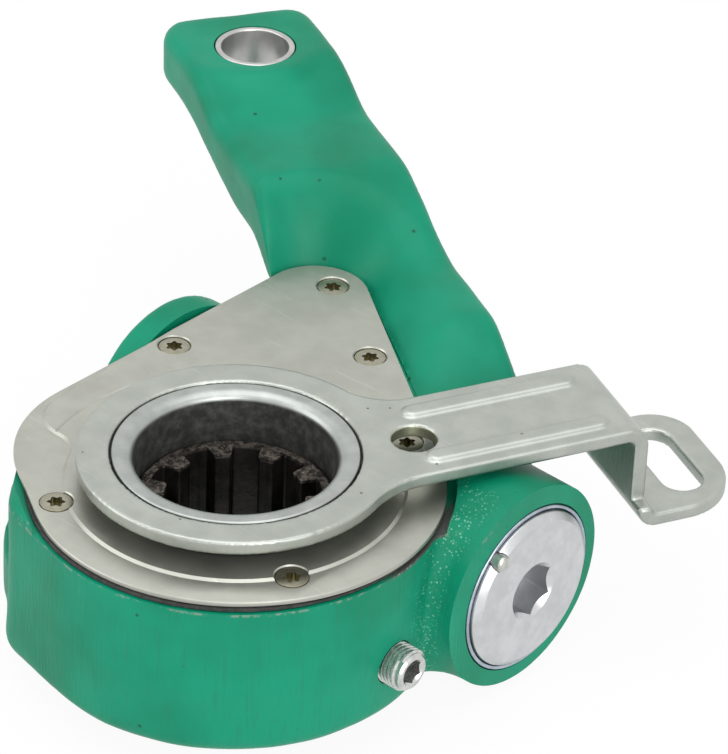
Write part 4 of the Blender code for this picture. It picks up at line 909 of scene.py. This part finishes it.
def housing_casting():
    x, y, _ = HEAD_TOP_DISCS[0]
    bulge = plate(circle((x, y), BULGE_R, 96), HEAD_EDGE_R, BULGE_TOP_Z)
    bm = join(head_blank(), bulge, barrel_blank(), arm_blank(), flare_blank())
    bm = skinned(bm, 0.85 * MM, 5, 0.2 * MM)
    ledge = belt(grown(COVER_DISCS, FACE_CUT_MARGINS), 1.0)
    bm = settle_arm(bm, evenly(ledge, 0.6 * MM))
    bm = uneven(bm, 0.16 * MM, 9.0 * MM, 1.7)
    top_cut = plate(ledge, HEAD_HEIGHT, HEAD_HEIGHT + 30 * MM)
    face_cut = block((BOSS_FACE_X, -10 * MM, -30 * MM), (BOSS_FACE_X + 10 * MM, 90 * MM, 60 * MM))
    seal_top = LOWER_SEAL_WIDTH + 2 * SEAT
    cavity = lathe([
        (0.0, HEAD_HEIGHT + 1 * MM), (WHEEL_CAVITY_R + 1.5 * MM, HEAD_HEIGHT + 1 * MM),
        (WHEEL_CAVITY_R + 1.5 * MM, 31 * MM), (WHEEL_CAVITY_R - 1.0 * MM, 31 * MM),
        (WHEEL_CAVITY_R - 1.0 * MM, HEAD_FLOOR), (JOURNAL_BORE_R, HEAD_FLOOR), (JOURNAL_BORE_R, seal_top),
        (LOWER_SEAL_R + SEAT, seal_top), (LOWER_SEAL_R + SEAT, -3 * MM), (0.0, -3 * MM),
    ], 96)
    line = along_x(lathe([
        (0.0, BOSS_FACE_X + 3 * MM), (LIP_RING_R + SEAT, BOSS_FACE_X + 3 * MM),
        (LIP_RING_R + SEAT, BOSS_FACE_X - LIP_SEAT_DEPTH),
        (CAP_THREAD_R + SEAT, BOSS_FACE_X - LIP_SEAT_DEPTH), (CAP_THREAD_R + SEAT, CAP_SEAT_X),
        (WORM_BORE_R, CAP_SEAT_X), (WORM_BORE_R, WORM_BORE_END_X), (SHAFT_BORE_R, WORM_BORE_END_X),
        (SHAFT_BORE_R, REAR_SEAL_SEAT_X), (REAR_SEAL_SEAT_R, REAR_SEAL_SEAT_X),
        (REAR_SEAL_SEAT_R, BARREL_END_X - 3 * MM), (0.0, BARREL_END_X - 3 * MM),
    ], 90))
    plug_low, plug_high, plug_middle = box_of("grease_plug")
    plug_hole = along_x(lathe([(0.0, plug_high.x), (PLUG_HOLE_R, plug_high.x),
                               (PLUG_HOLE_R, plug_low.x - SEAT), (0.0, plug_low.x - SEAT)], 48),
                        plug_middle.y, plug_middle.z)
    bush_hole = lathe([(0.0, 70 * MM), (BUSH_OUTER_R + SEAT, 70 * MM), (BUSH_OUTER_R + SEAT, 40 * MM),
                       (0.0, 40 * MM)], 72)
    bush_hole = placed(bush_hole, Matrix.Translation((BUSH_X, BUSH_Y, 0)))
    bm = cut(bm, top_cut, face_cut, cavity, line, plug_hole, bush_hole)
    return finished("housing_casting", bm, green_enamel(), "housing", ["housing"], 38.0)


# Cover, screws and bush

def cover_pressing():
    """The pressed cover: a low rim, a raised field with its winding edge, screw seats and the bore."""
    rim_top = COVER_TOP_Z - COVER_RAISE
    bm = plate(belt(COVER_DISCS, 2.5), COVER_LOW_Z, rim_top)
    edges = [e for e in bm.edges if all(abs(v.co.z - rim_top) < 1e-6 for v in e.verts)]
    bmesh.ops.bevel(bm, geom=edges, offset=0.35 * MM, segments=3, profile=0.5, affect="EDGES", material=-1)
    field = field_discs()
    outer = belt(grown(field, (FIELD_SLOPE,) * 6), counts=FIELD_COUNTS)
    inner = belt(grown(field, (-FIELD_SLOPE,) * 6), counts=FIELD_COUNTS)
    raised = loft([(outer, rim_top - 0.4 * MM), (outer, rim_top), (inner, COVER_TOP_Z)])
    inset = plate(belt(grown(COVER_DISCS, (-0.3 * MM,) * 4), 2.5), COVER_LOW_Z, COVER_TOP_Z + 1 * MM)
    raised = boolean(raised, "INTERSECT", inset)
    bm = join(bm, raised)
    bore = lathe([(0.0, 50 * MM), (COVER_BORE_R, 50 * MM), (COVER_BORE_R, 30 * MM), (0.0, 30 * MM)], 96)
    groove = lathe([(GROOVE_R - GROOVE_HALF_WIDTH, COVER_TOP_Z + 0.1 * MM),
                    (GROOVE_R, COVER_TOP_Z - GROOVE_DEPTH),
                    (GROOVE_R + GROOVE_HALF_WIDTH, COVER_TOP_Z + 0.1 * MM)], 128)
    seats = []
    for name in SCREW_NAMES:
        low, high, middle = box_of(name)
        rim = SCREW_HEAD_R + 0.5 * MM
        seat = lathe([(0.0, 45 * MM), (rim + 5 * MM, 45 * MM), (rim, COVER_TOP_Z + 0.02 * MM),
                      (SCREW_HEAD_R + 0.22 * MM, COVER_TOP_Z - 0.3 * MM),
                      (SCREW_HEAD_R + 0.2 * MM, rim_top - 0.5 * MM),
                      (SCREW_SHANK_R + SEAT, COVER_LOW_Z + 0.1 * MM),
                      (SCREW_SHANK_R + SEAT, 30 * MM), (0.0, 30 * MM)], 40)
        seats.append(placed(seat, Matrix.Translation((middle.x, middle.y, 0))))
    bm = cut(bm, bore, groove, *seats)
    return finished("cover_pressing", bm, cover_zinc(), "housing", ["cover_plate"], 25.0)


def field_discs():
    """The raised field: round the ring, up the right edge to the tip, and down to a lobe."""
    lobe_x, lobe_y, lobe_r = FIELD_LOBE
    reach = FIELD_R + FIELD_HOLLOW_R + 0.05 * MM
    away = math.hypot(lobe_x, lobe_y)
    share = (reach ** 2 + away ** 2 - (lobe_r + FIELD_HOLLOW_R + 0.05 * MM) ** 2) / (2 * reach * away)
    left_turn = math.atan2(lobe_y, lobe_x) + math.acos(share)
    right_turn = FIELD_HOLLOW_TURN
    corner_turn = right_turn + FIELD_CORNER_TURN
    tip_x, tip_y, tip_r = COVER_DISCS[3]
    return (
        (0.0, 0.0, FIELD_R),
        (reach * math.cos(right_turn), reach * math.sin(right_turn), -FIELD_HOLLOW_R),
        (FIELD_BEYOND_R * math.cos(corner_turn), FIELD_BEYOND_R * math.sin(corner_turn), FIELD_REACH / 2),
        (tip_x, tip_y, tip_r + FIELD_REACH),
        FIELD_LOBE,
        (reach * math.cos(left_turn), reach * math.sin(left_turn), -FIELD_HOLLOW_R),
    )


def star_outline():
    points = []
    steps = 48
    middle = (STAR_OUTER_R + STAR_INNER_R) / 2
    swing = (STAR_OUTER_R - STAR_INNER_R) / 2
    for i in range(steps):
        angle = FULL_TURN * i / steps
        radius = middle + swing * math.cos(6 * angle)
        points.append((radius * math.cos(angle), radius * math.sin(angle)))
    return points


def cover_screw_heads(material):
    for i, name in enumerate(SCREW_NAMES):
        low, high, middle = box_of(name)
        top = high.z + 0.4 * MM
        cone = SCREW_HEAD_R - SCREW_SHANK_R
        profile = [(0.0, top), (SCREW_HEAD_R, top - 0.12 * MM), (SCREW_HEAD_R, top - 0.4 * MM),
                   (SCREW_SHANK_R, top - 0.4 * MM - cone), (SCREW_SHANK_R, low.z), (0.0, low.z)]
        bm = lathe(softened(profile, 0.25 * MM, 3, closed=False), 48)
        star = plate(star_outline(), top - STAR_DEPTH, top + 1 * MM)
        bm = cut(bm, star)
        turn = Matrix.Rotation(i * 1.3, 4, "Z")
        bm = placed(bm, Matrix.Translation((middle.x, middle.y, 0)) @ turn)
        finished(f"{name}_star", bm, material, "housing", [name], 25.0)


def clevis_bush_sleeve(material):
    tube = [(BUSH_OUTER_R, BUSH_HIGH.z), (BUSH_OUTER_R, BUSH_LOW.z), (BUSH_INNER_R, BUSH_LOW.z),
            (BUSH_INNER_R, BUSH_HIGH.z)]
    bm = placed(lathe(softened(tube, 0.45 * MM, 4), 96), Matrix.Translation((BUSH_X, BUSH_Y, 0)))
    finished("clevis_bush_sleeve", bm, material, "housing", ["clevis_bush"])


# Control arm and hub

def strip_plan():
    left = STRIP_OFFSET - STRIP_HALF_WIDTH
    right = STRIP_OFFSET + STRIP_HALF_WIDTH
    left_n = left - STRIP_FILLET_LEFT
    left_u = math.sqrt((RING_R + STRIP_FILLET_LEFT) ** 2 - left_n ** 2)
    right_n = right + STRIP_FILLET_RIGHT
    right_u = math.sqrt((RING_R + STRIP_FILLET_RIGHT) ** 2 - right_n ** 2)
    left_turn = math.atan2(left_n, left_u)
    right_turn = math.atan2(right_n, right_u)
    outline = arc((right_u, right_n), STRIP_FILLET_RIGHT, -QUARTER, right_turn - HALF_TURN, 16)
    outline += arc((0.0, 0.0), RING_R, right_turn, FULL_TURN + left_turn, 140)
    outline += arc((left_u, left_n), STRIP_FILLET_LEFT, left_turn + HALF_TURN, QUARTER, 16)
    outline += [(STEP_FACE_U + 2 * MM, left), (STEP_FACE_U + 2 * MM, right)]
    return [(u, -n) for u, n in outline]


def flange_plan():
    left = FLANGE_OFFSET - FLANGE_HALF_WIDTH
    right = FLANGE_OFFSET + FLANGE_HALF_WIDTH
    start = STEP_FACE_U - SHEET - 0.5 * MM
    back_r = FLANGE_BACK_R
    left_r = FLANGE_LEFT_CORNER_R
    right_r = FLANGE_RIGHT_CORNER_R
    outline = arc((start + back_r, left + back_r), back_r, -HALF_TURN, -QUARTER, 5)
    outline += arc((FLANGE_END_U - left_r, left + left_r), left_r, -QUARTER, 0.0, 18)
    outline += arc((FLANGE_END_U - right_r, right - right_r), right_r, 0.0, QUARTER, 22)
    outline += arc((start + back_r, right - back_r), back_r, QUARTER, HALF_TURN, 5)
    return [(u, -n) for u, n in outline]


def strip_side():
    outer_r = STEP_BEND_R + SHEET
    flange_low = FLANGE_TOP_Z - SHEET
    bend_top = (STEP_FACE_U - outer_r, RING_TOP_Z - outer_r)
    bend_foot = (STEP_FACE_U + STEP_BEND_R, FLANGE_TOP_Z + STEP_BEND_R)
    ring_back = -RING_R - 2 * MM
    profile = [(ring_back, RING_TOP_Z), (ring_back, RING_TOP_Z - SHEET)]
    profile += arc(bend_top, STEP_BEND_R, QUARTER, 0.0, 8)
    profile += arc(bend_foot, outer_r, HALF_TURN, 1.5 * HALF_TURN, 12)
    profile += [(FLANGE_END_U + 2 * MM, flange_low), (FLANGE_END_U + 2 * MM, FLANGE_TOP_Z)]
    profile += arc(bend_foot, STEP_BEND_R, 1.5 * HALF_TURN, HALF_TURN, 8)
    profile += arc(bend_top, outer_r, 0.0, QUARTER, 12)
    return profile


def capsule(u0, u1, v, radius, steps=14):
    far = arc((u1, v), radius, -QUARTER, QUARTER, steps)
    return far + arc((u0, v), radius, QUARTER, 3 * QUARTER, steps)


def control_arm_pressing():
    """The ring and bent strip, pressed from sheet, with its two stiffening beads."""
    reach = RING_R + 2 * MM
    side = placed(plate(strip_side(), -reach, reach), Matrix.Rotation(QUARTER, 4, "X"))
    foot = FLANGE_TOP_Z + FLANGE_FOOT_HEIGHT
    plan = join(plate(strip_plan(), foot - SHEET / 2, RING_TOP_Z + 2 * MM),
                plate(flange_plan(), FLANGE_TOP_Z - 2 * SHEET, foot))
    bm = boolean(side, "INTERSECT", plan)
    beads = []
    for n, start_u in RIBS:
        bead = plate(capsule(start_u, RIB_END_U, -n, RIB_HALF_WIDTH), RING_TOP_Z - SHEET / 2,
                     RING_TOP_Z + RIB_HEIGHT)
        top = [e for e in bead.edges if all(abs(v.co.z - RING_TOP_Z - RIB_HEIGHT) < 1e-6 for v in e.verts)]
        bmesh.ops.bevel(bead, geom=top, offset=RIB_HEIGHT * 0.9, segments=4, profile=0.5,
                        affect="EDGES", material=-1)
        beads.append(bead)
    bm = join(bm, *beads)
    turn_back = Matrix.Rotation(-STRIP_ANGLE, 4, "Z")
    hole_place = turn_back @ Vector((*ACCESS_HOLE, 0.0))
    low, high = RING_TOP_Z - 3 * SHEET, RING_TOP_Z + 2 * MM
    bore = plate(circle((0.0, 0.0), RING_BORE_R, 160), low, high)
    hole = plate(circle((hole_place.x, hole_place.y), ACCESS_HOLE_R, 64), low, high)
    straight = SLOT_HALF_LENGTH - SLOT_R
    slot = [(u, v) for v, u in capsule(-FLANGE_OFFSET - straight, -FLANGE_OFFSET + straight, SLOT_CENTRE_U,
                                       SLOT_R, 20)]
    bm = cut(bm, bore, hole, plate(slot, FLANGE_TOP_Z - 2 * SHEET, FLANGE_TOP_Z + 1.5 * MM))
    bm = skinned(bm, 0.42 * MM, 3, 0.12 * MM)
    bm = placed(bm, Matrix.Rotation(STRIP_ANGLE, 4, "Z"))
    finished("control_arm_pressing", bm, control_arm_zinc(), "control", ["control_arm"], 60.0)


def control_hub_ring(material):
    low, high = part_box("control_hub")
    seat = RING_TOP_Z - SHEET - SEAT
    top = high.z
    profile = [
        (26.45 * MM, top - 0.2 * MM), (26.5 * MM, seat), (28.5 * MM, seat), (28.5 * MM, seat - 1.4 * MM),
        (24.4 * MM, seat - 1.4 * MM), (24.4 * MM, low.z), (HUB_INNER_R, low.z),
    ]
    for i in range(9):
        angle = QUARTER * i / 8
        profile.append((HUB_INNER_R + HUB_ROLL * (1 - math.cos(angle)),
                        top - HUB_ROLL * 0.8 * (1 - math.sin(angle))))
    profile.append((26.1 * MM, top))
    bm = lathe(softened(profile, 0.35 * MM, 3), 160)
    finished("control_hub_ring", bm, material, "control", ["control_hub"], 40.0)


# Worm wheel

def gear_outline(module, teeth, backlash, root_depth, phase):
    pitch_r = module * teeth / 2
    half_pitch = HALF_TURN * module / 4 - backlash / 4
    slope = math.tan(PRESSURE_ANGLE)
    levels = ((pitch_r - root_depth, half_pitch + root_depth * slope), (pitch_r, half_pitch),
              (pitch_r + module, half_pitch - module * slope))
    points = []
    for i in range(teeth):
        middle = phase + FULL_TURN * i / teeth
        for radius, half in levels:
            points.append((radius, middle - half / radius))
        for radius, half in reversed(levels):
            points.append((radius, middle + half / radius))
    return [(r * math.cos(a), r * math.sin(a)) for r, a in points]


def spline_outline():
    root_r, tip_r = SPLINE_ROOT_R, SPLINE_TIP_R
    base, tip = SPLINE_TOOTH_BASE, SPLINE_TOOTH_TIP
    points = []
    for i in range(SPLINE_TEETH):
        middle = FULL_TURN * i / SPLINE_TEETH
        gap = FULL_TURN / SPLINE_TEETH - base / root_r
        points.append((root_r, middle - base / 2 / root_r))
        points.append((tip_r, middle - tip / 2 / tip_r))
        points.append((tip_r, middle))
        points.append((tip_r, middle + tip / 2 / tip_r))
        for share in (0.0, 0.25, 0.5, 0.75):
            points.append((root_r, middle + base / 2 / root_r + gap * share))
    flat = [(r * math.cos(a), r * math.sin(a)) for r, a in points]
    return softened(flat, 0.7 * MM, 4)


def worm_wheel_gear(material):
    low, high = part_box("worm_wheel")
    width = WHEEL_WIDTH
    twist = width * WHEEL_MODULE / 2 / WORM_PITCH_R / (WHEEL_MODULE * WHEEL_TEETH / 2)
    layers = 6
    outline = gear_outline(WHEEL_MODULE, WHEEL_TEETH, WHEEL_BACKLASH, WHEEL_ROOT_DEPTH, QUARTER - twist / 2)
    sections = []
    for i in range(layers + 1):
        turn = twist * i / layers
        cos, sin = math.cos(turn), math.sin(turn)
        ring = [(x * cos - y * sin, x * sin + y * cos) for x, y in outline]
        sections.append((ring, WORM_Z - width / 2 + width * i / layers))
    bm = loft(sections)
    profile = [
        (0.0, high.z), (20.6 * MM, high.z), (21.4 * MM, high.z - 0.7 * MM), (21.4 * MM, 30.7 * MM),
        (24.4 * MM, 30.7 * MM), (24.4 * MM, 27.3 * MM), (24.2 * MM, WORM_Z), (27.2 * MM, 6.3 * MM),
        (24.7 * MM, 6.3 * MM), (24.7 * MM, low.z), (0.0, low.z),
    ]
    bm = join(bm, lathe(profile, 96))
    bm = cut(bm, plate(spline_outline(), -3 * MM, 45 * MM))
    finished("worm_wheel_gear", bm, material, "wheel", ["worm_wheel"], 40.0)


# Cap, lip ring, lock pin and plug

def cap_disc(material):
    low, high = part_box("worm_cap")
    face = high.x
    profile = [
        (0.0, face), (CAP_FACE_R, face), (CAP_RIM_R, face - CAP_CHAMFER),
        (CAP_RIM_R, BOSS_FACE_X - 1.5 * MM),
        (CAP_THREAD_R, BOSS_FACE_X - 1.5 * MM), (CAP_THREAD_R, low.x), (0.0, low.x),
    ]
    bm = lathe(softened(profile, 0.4 * MM, 4, closed=False), 128)
    mouth_depth = CAP_MOUTH_R - CAP_SOCKET_FLATS / 2
    mouth = lathe([(0.0, face + 2 * MM), (CAP_MOUTH_R + 0.1 * MM, face + 2 * MM), (CAP_MOUTH_R, face),
                   (CAP_SOCKET_FLATS / 2, face - mouth_depth), (0.0, face - mouth_depth)], 96)
    flats = softened(hexagon(CAP_SOCKET_FLATS), 0.25 * MM, 3)
    socket = plate(flats, face - CAP_SOCKET_DEPTH, face + 2 * MM)
    bm = cut(bm, socket, mouth)
    bm = cut(along_x(bm), pin_clearance())
    finished("worm_cap_disc", bm, material, "housing", ["worm_cap"], 25.0)


def pin_clearance():
    low, high, middle = box_of("cap_lock_pin")
    bm = lathe([(0.0, high.x + 2 * MM), (PIN_R + 0.15 * MM, high.x + 2 * MM), (PIN_R + 0.15 * MM, low.x),
                (0.0, low.x)], 32)
    return along_x(bm, middle.y, middle.z)


def cap_lip_ring(material):
    low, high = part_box("cap_seal")
    inner_r = CAP_RIM_R + SEAT
    tube = [(LIP_RING_R, high.x), (LIP_RING_R, low.x), (inner_r, low.x), (inner_r, high.x)]
    bm = cut(along_x(lathe(softened(tube, 0.45 * MM, 4), 128)), pin_clearance())
    finished("cap_lip_ring", bm, material, "housing", ["cap_seal"])


def cap_pin(material):
    low, high, middle = box_of("cap_lock_pin")
    profile = [(0.0, high.x), (PIN_R - 0.3 * MM, high.x - 0.08 * MM), (PIN_R, high.x - 0.7 * MM),
               (PIN_R, low.x), (0.0, low.x)]
    bm = lathe(softened(profile, 0.5 * MM, 4, closed=False), 40)
    bm = along_x(bm, middle.y, middle.z)
    finished("cap_lock_pin_head", bm, material, "housing", ["cap_lock_pin"])


def threaded_plug(material):
    low, high, middle = box_of("grease_plug")
    outer = (high.y - low.y) / 2
    core = outer - PLUG_THREAD_DEPTH
    edge = 0.5 * MM
    profile = [(0.0, high.x), (core - edge, high.x), (core, high.x - edge), (core, low.x + edge),
               (core - edge, low.x), (0.0, low.x)]
    bm = lathe(profile, 50)
    thread_end = high.x - 0.55 * MM
    turns = int((thread_end - low.x - 1.0 * MM) / PLUG_PITCH)
    start = thread_end - turns * PLUG_PITCH
    half = PLUG_PITCH * 0.43
    flat = PLUG_PITCH * 0.08
    section = [(core - 0.15 * MM, -half), (core - 0.15 * MM, half), (outer, flat), (outer, -flat)]
    thread = bmesh.new()
    face = thread.faces.new([thread.verts.new((r, 0.0, start + z)) for r, z in section])
    steps = 48
    bmesh.ops.spin(thread, geom=[face] + face.edges[:] + face.verts[:], cent=(0, 0, 0), axis=(0, 0, 1),
                   dvec=(0, 0, PLUG_PITCH / steps), angle=FULL_TURN * (turns - 0.4),
                   steps=int((turns - 0.4) * steps), use_duplicate=False)
    bmesh.ops.recalc_face_normals(thread, faces=thread.faces)
    bm = join(bm, thread)
    mouth_r = PLUG_SOCKET_FLATS / 2 + 0.6 * MM
    mouth = lathe([(0.0, high.x + 1 * MM), (mouth_r + 1 * MM, high.x + 1 * MM), (mouth_r, high.x),
                   (mouth_r - 0.8 * MM, high.x - 0.8 * MM), (0.0, high.x - 0.8 * MM)], 48)
    socket = plate(hexagon(PLUG_SOCKET_FLATS), high.x - PLUG_SOCKET_DEPTH, high.x + 1 * MM)
    bm = cut(bm, socket, mouth)
    bm = along_x(bm, middle.y, middle.z)
    finished("grease_plug_thread", bm, material, "housing", ["grease_plug"], 25.0)


def seal_rings(material):
    low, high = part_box("wheel_lower_seal")
    tube = [(LOWER_SEAL_R, high.z), (LOWER_SEAL_R, low.z), (LOWER_SEAL_INNER_R, low.z),
            (LOWER_SEAL_INNER_R, high.z)]
    bm = lathe(softened(tube, 0.5 * MM, 4), 96)
    finished("wheel_lower_seal_ring", bm, material, "housing", ["wheel_lower_seal"])
    low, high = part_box("worm_rear_seal")
    tube = [(11.0 * MM, high.x), (11.0 * MM, low.x), (7.5 * MM, low.x), (7.5 * MM, high.x)]
    bm = along_x(lathe(softened(tube, 0.5 * MM, 4), 64))
    finished("worm_rear_seal_ring", bm, material, "housing", ["worm_rear_seal"])


# Camera, lights and floor

def add_camera():
    data = bpy.data.cameras.new("camera")
    data.sensor_width = SENSOR_MM
    data.sensor_fit = "AUTO"
    data.lens = FOCAL_PX / IMAGE_LONG_SIDE * SENSOR_MM
    data.clip_start = 0.01
    data.clip_end = 50.0
    flat = math.cos(CAMERA_ELEVATION)
    back = Vector((flat * math.sin(CAMERA_AZIMUTH), -flat * math.cos(CAMERA_AZIMUTH),
                   math.sin(CAMERA_ELEVATION)))
    forward = -back
    right = forward.cross(Vector((0, 0, 1))).normalized()
    down = forward.cross(right)
    turned_right = math.cos(CAMERA_ROLL) * right + math.sin(CAMERA_ROLL) * down
    turned_down = forward.cross(turned_right)
    basis = Matrix((turned_right, -turned_down, -forward)).transposed().to_4x4()
    camera = bpy.data.objects.new("camera", data)
    camera.matrix_world = Matrix.Translation(CAMERA_PLACE) @ basis
    bpy.context.scene.collection.objects.link(camera)
    bpy.context.scene.camera = camera


def add_lamp(name, place, size, watts, aim=(0.0, 0.02, 0.03)):
    data = bpy.data.lights.new(name, "AREA")
    data.shape = "RECTANGLE"
    data.size, data.size_y = size
    data.energy = watts
    lamp = bpy.data.objects.new(name, data)
    lamp.location = place
    direction = Vector(aim) - Vector(place)
    lamp.rotation_euler = direction.to_track_quat("-Z", "Y").to_euler()
    bpy.context.scene.collection.objects.link(lamp)


def seen_white(finish):
    """1 for rays that come from the camera, from a reflection or through glass."""
    path = finish.tree.nodes.new("ShaderNodeLightPath")
    seen = Wire(finish, path.outputs["Is Camera Ray"])
    for output in ("Is Glossy Ray", "Is Transmission Ray"):
        seen = seen.greater(Wire(finish, path.outputs[output]))
    return seen


def add_floor():
    size = 4.0
    bm = bmesh.new()
    bmesh.ops.create_grid(bm, x_segments=1, y_segments=1, size=size)
    placed(bm, Matrix.Translation((0, 0, CAD_LOW.z - 0.5 * MM)))
    mesh = bpy.data.meshes.new("floor")
    bm.to_mesh(mesh)
    bm.free()
    finish = Finish("floor_white")
    finish.set(Base_Color=(0.85, 0.85, 0.85), Roughness=0.9)
    seen = seen_white(finish)
    glow = finish.node("ShaderNodeEmission", {}, {"Color": (1.0, 1.0, 1.0), "Strength": 1.0})
    mixed = finish.tree.nodes.new("ShaderNodeMixShader")
    finish.feed(mixed.inputs[0], seen * 0.93)
    finish.tree.links.new(finish.shader.outputs[0], mixed.inputs[1])
    finish.tree.links.new(glow.socket, mixed.inputs[2])
    output = finish.tree.nodes["Material Output"]
    finish.tree.links.new(mixed.outputs[0], output.inputs["Surface"])
    mesh.materials.append(finish.material)
    floor = bpy.data.objects.new("floor", mesh)
    bpy.context.scene.collection.objects.link(floor)


def set_world():
    world = bpy.data.worlds.new("studio")
    bpy.context.scene.world = world
    world.use_nodes = True
    tree = world.node_tree
    back = tree.nodes["Background"]
    back.inputs["Color"].default_value = (1.0, 1.0, 1.0, 1.0)
    path = tree.nodes.new("ShaderNodeLightPath")
    seen = tree.nodes.new("ShaderNodeMath")
    seen.operation = "MAXIMUM"
    tree.links.new(path.outputs["Is Camera Ray"], seen.inputs[0])
    tree.links.new(path.outputs["Is Transmission Ray"], seen.inputs[1])
    mirrored = tree.nodes.new("ShaderNodeMath")
    mirrored.operation = "MAXIMUM"
    tree.links.new(seen.outputs[0], mirrored.inputs[0])
    tree.links.new(path.outputs["Is Glossy Ray"], mirrored.inputs[1])
    level = tree.nodes.new("ShaderNodeMapRange")
    level.inputs["To Min"].default_value = 0.6
    level.inputs["To Max"].default_value = 1.0
    tree.links.new(mirrored.outputs[0], level.inputs["Value"])
    tree.links.new(level.outputs[0], back.inputs["Strength"])


def dress_inner_nodes(steel, spring, gasket, rubber):
    """Better materials on the CAD nodes that stay, most of them inside the housing."""
    chosen = {
        steel: ("control_disc", "worm_shaft", "worm_bearing", "spring_seat", "rack", "drive_pinion",
                "clutch_ring"),
        spring: ("pressure_spring", "rack_spring", "clutch_spring"),
        gasket: ("cover_gasket",),
        rubber: ("hub_seal",),
    }
    for material, names in chosen.items():
        for name in names:
            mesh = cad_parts[name].data
            mesh.materials.clear()
            mesh.materials.append(material)


bpy.context.scene.view_settings.view_transform = "Standard"
add_camera()
set_world()
add_floor()
add_lamp("overhead", (0.0, -0.05, 1.3), (1.5, 1.2), 9.0)
add_lamp("left_side", (-0.9, -0.9, 0.7), (0.9, 0.9), 5.0)
add_lamp("right_front", (1.0, -0.5, 0.5), (0.7, 0.9), 8.0)

housing_casting()
cover_pressing()
cover_screw_heads(fastener_zinc())
clevis_bush_sleeve(turned_metal("bush_satin", (0.56, 0.56, 0.54), (0.46, 0.46, 0.45), 0.32))
control_arm_pressing()
control_hub_ring(turned_metal("hub_bright", (0.42, 0.44, 0.42), (0.35, 0.37, 0.355), 0.38, None, 0.012,
                              RING_TOP_Z / MM - 1.6))
worm_wheel_gear(greasy_steel())
cap_disc(turned_metal("cap_satin", (0.64, 0.65, 0.66), (0.54, 0.55, 0.56), 0.36, (WORM_Y, WORM_Z), 0.008))
cap_lip_ring(turned_metal("lip_blue_zinc", (0.50, 0.57, 0.65), (0.34, 0.38, 0.44), 0.30, (WORM_Y, WORM_Z)))
cap_pin(plain_metal("pin_zinc", (0.62, 0.62, 0.58), (0.46, 0.46, 0.43), 0.34, 1.2, depth=0.03))
threaded_plug(plain_metal("plug_zinc", (0.66, 0.67, 0.65), (0.50, 0.51, 0.49), 0.26, 1.4))
rubber = soft_dark("seal_rubber", (0.030, 0.030, 0.030), (0.014, 0.014, 0.014), 0.55, 0.01)
seal_rings(rubber)
dress_inner_nodes(
    plain_metal("inner_steel", (0.40, 0.40, 0.39), (0.26, 0.26, 0.25), 0.34),
    plain_metal("spring_steel", (0.26, 0.26, 0.27), (0.16, 0.16, 0.17), 0.36, 1.5),
    soft_dark("gasket_fibre", (0.045, 0.045, 0.042), (0.020, 0.020, 0.019), 0.8, 0.03),
    rubber,
)
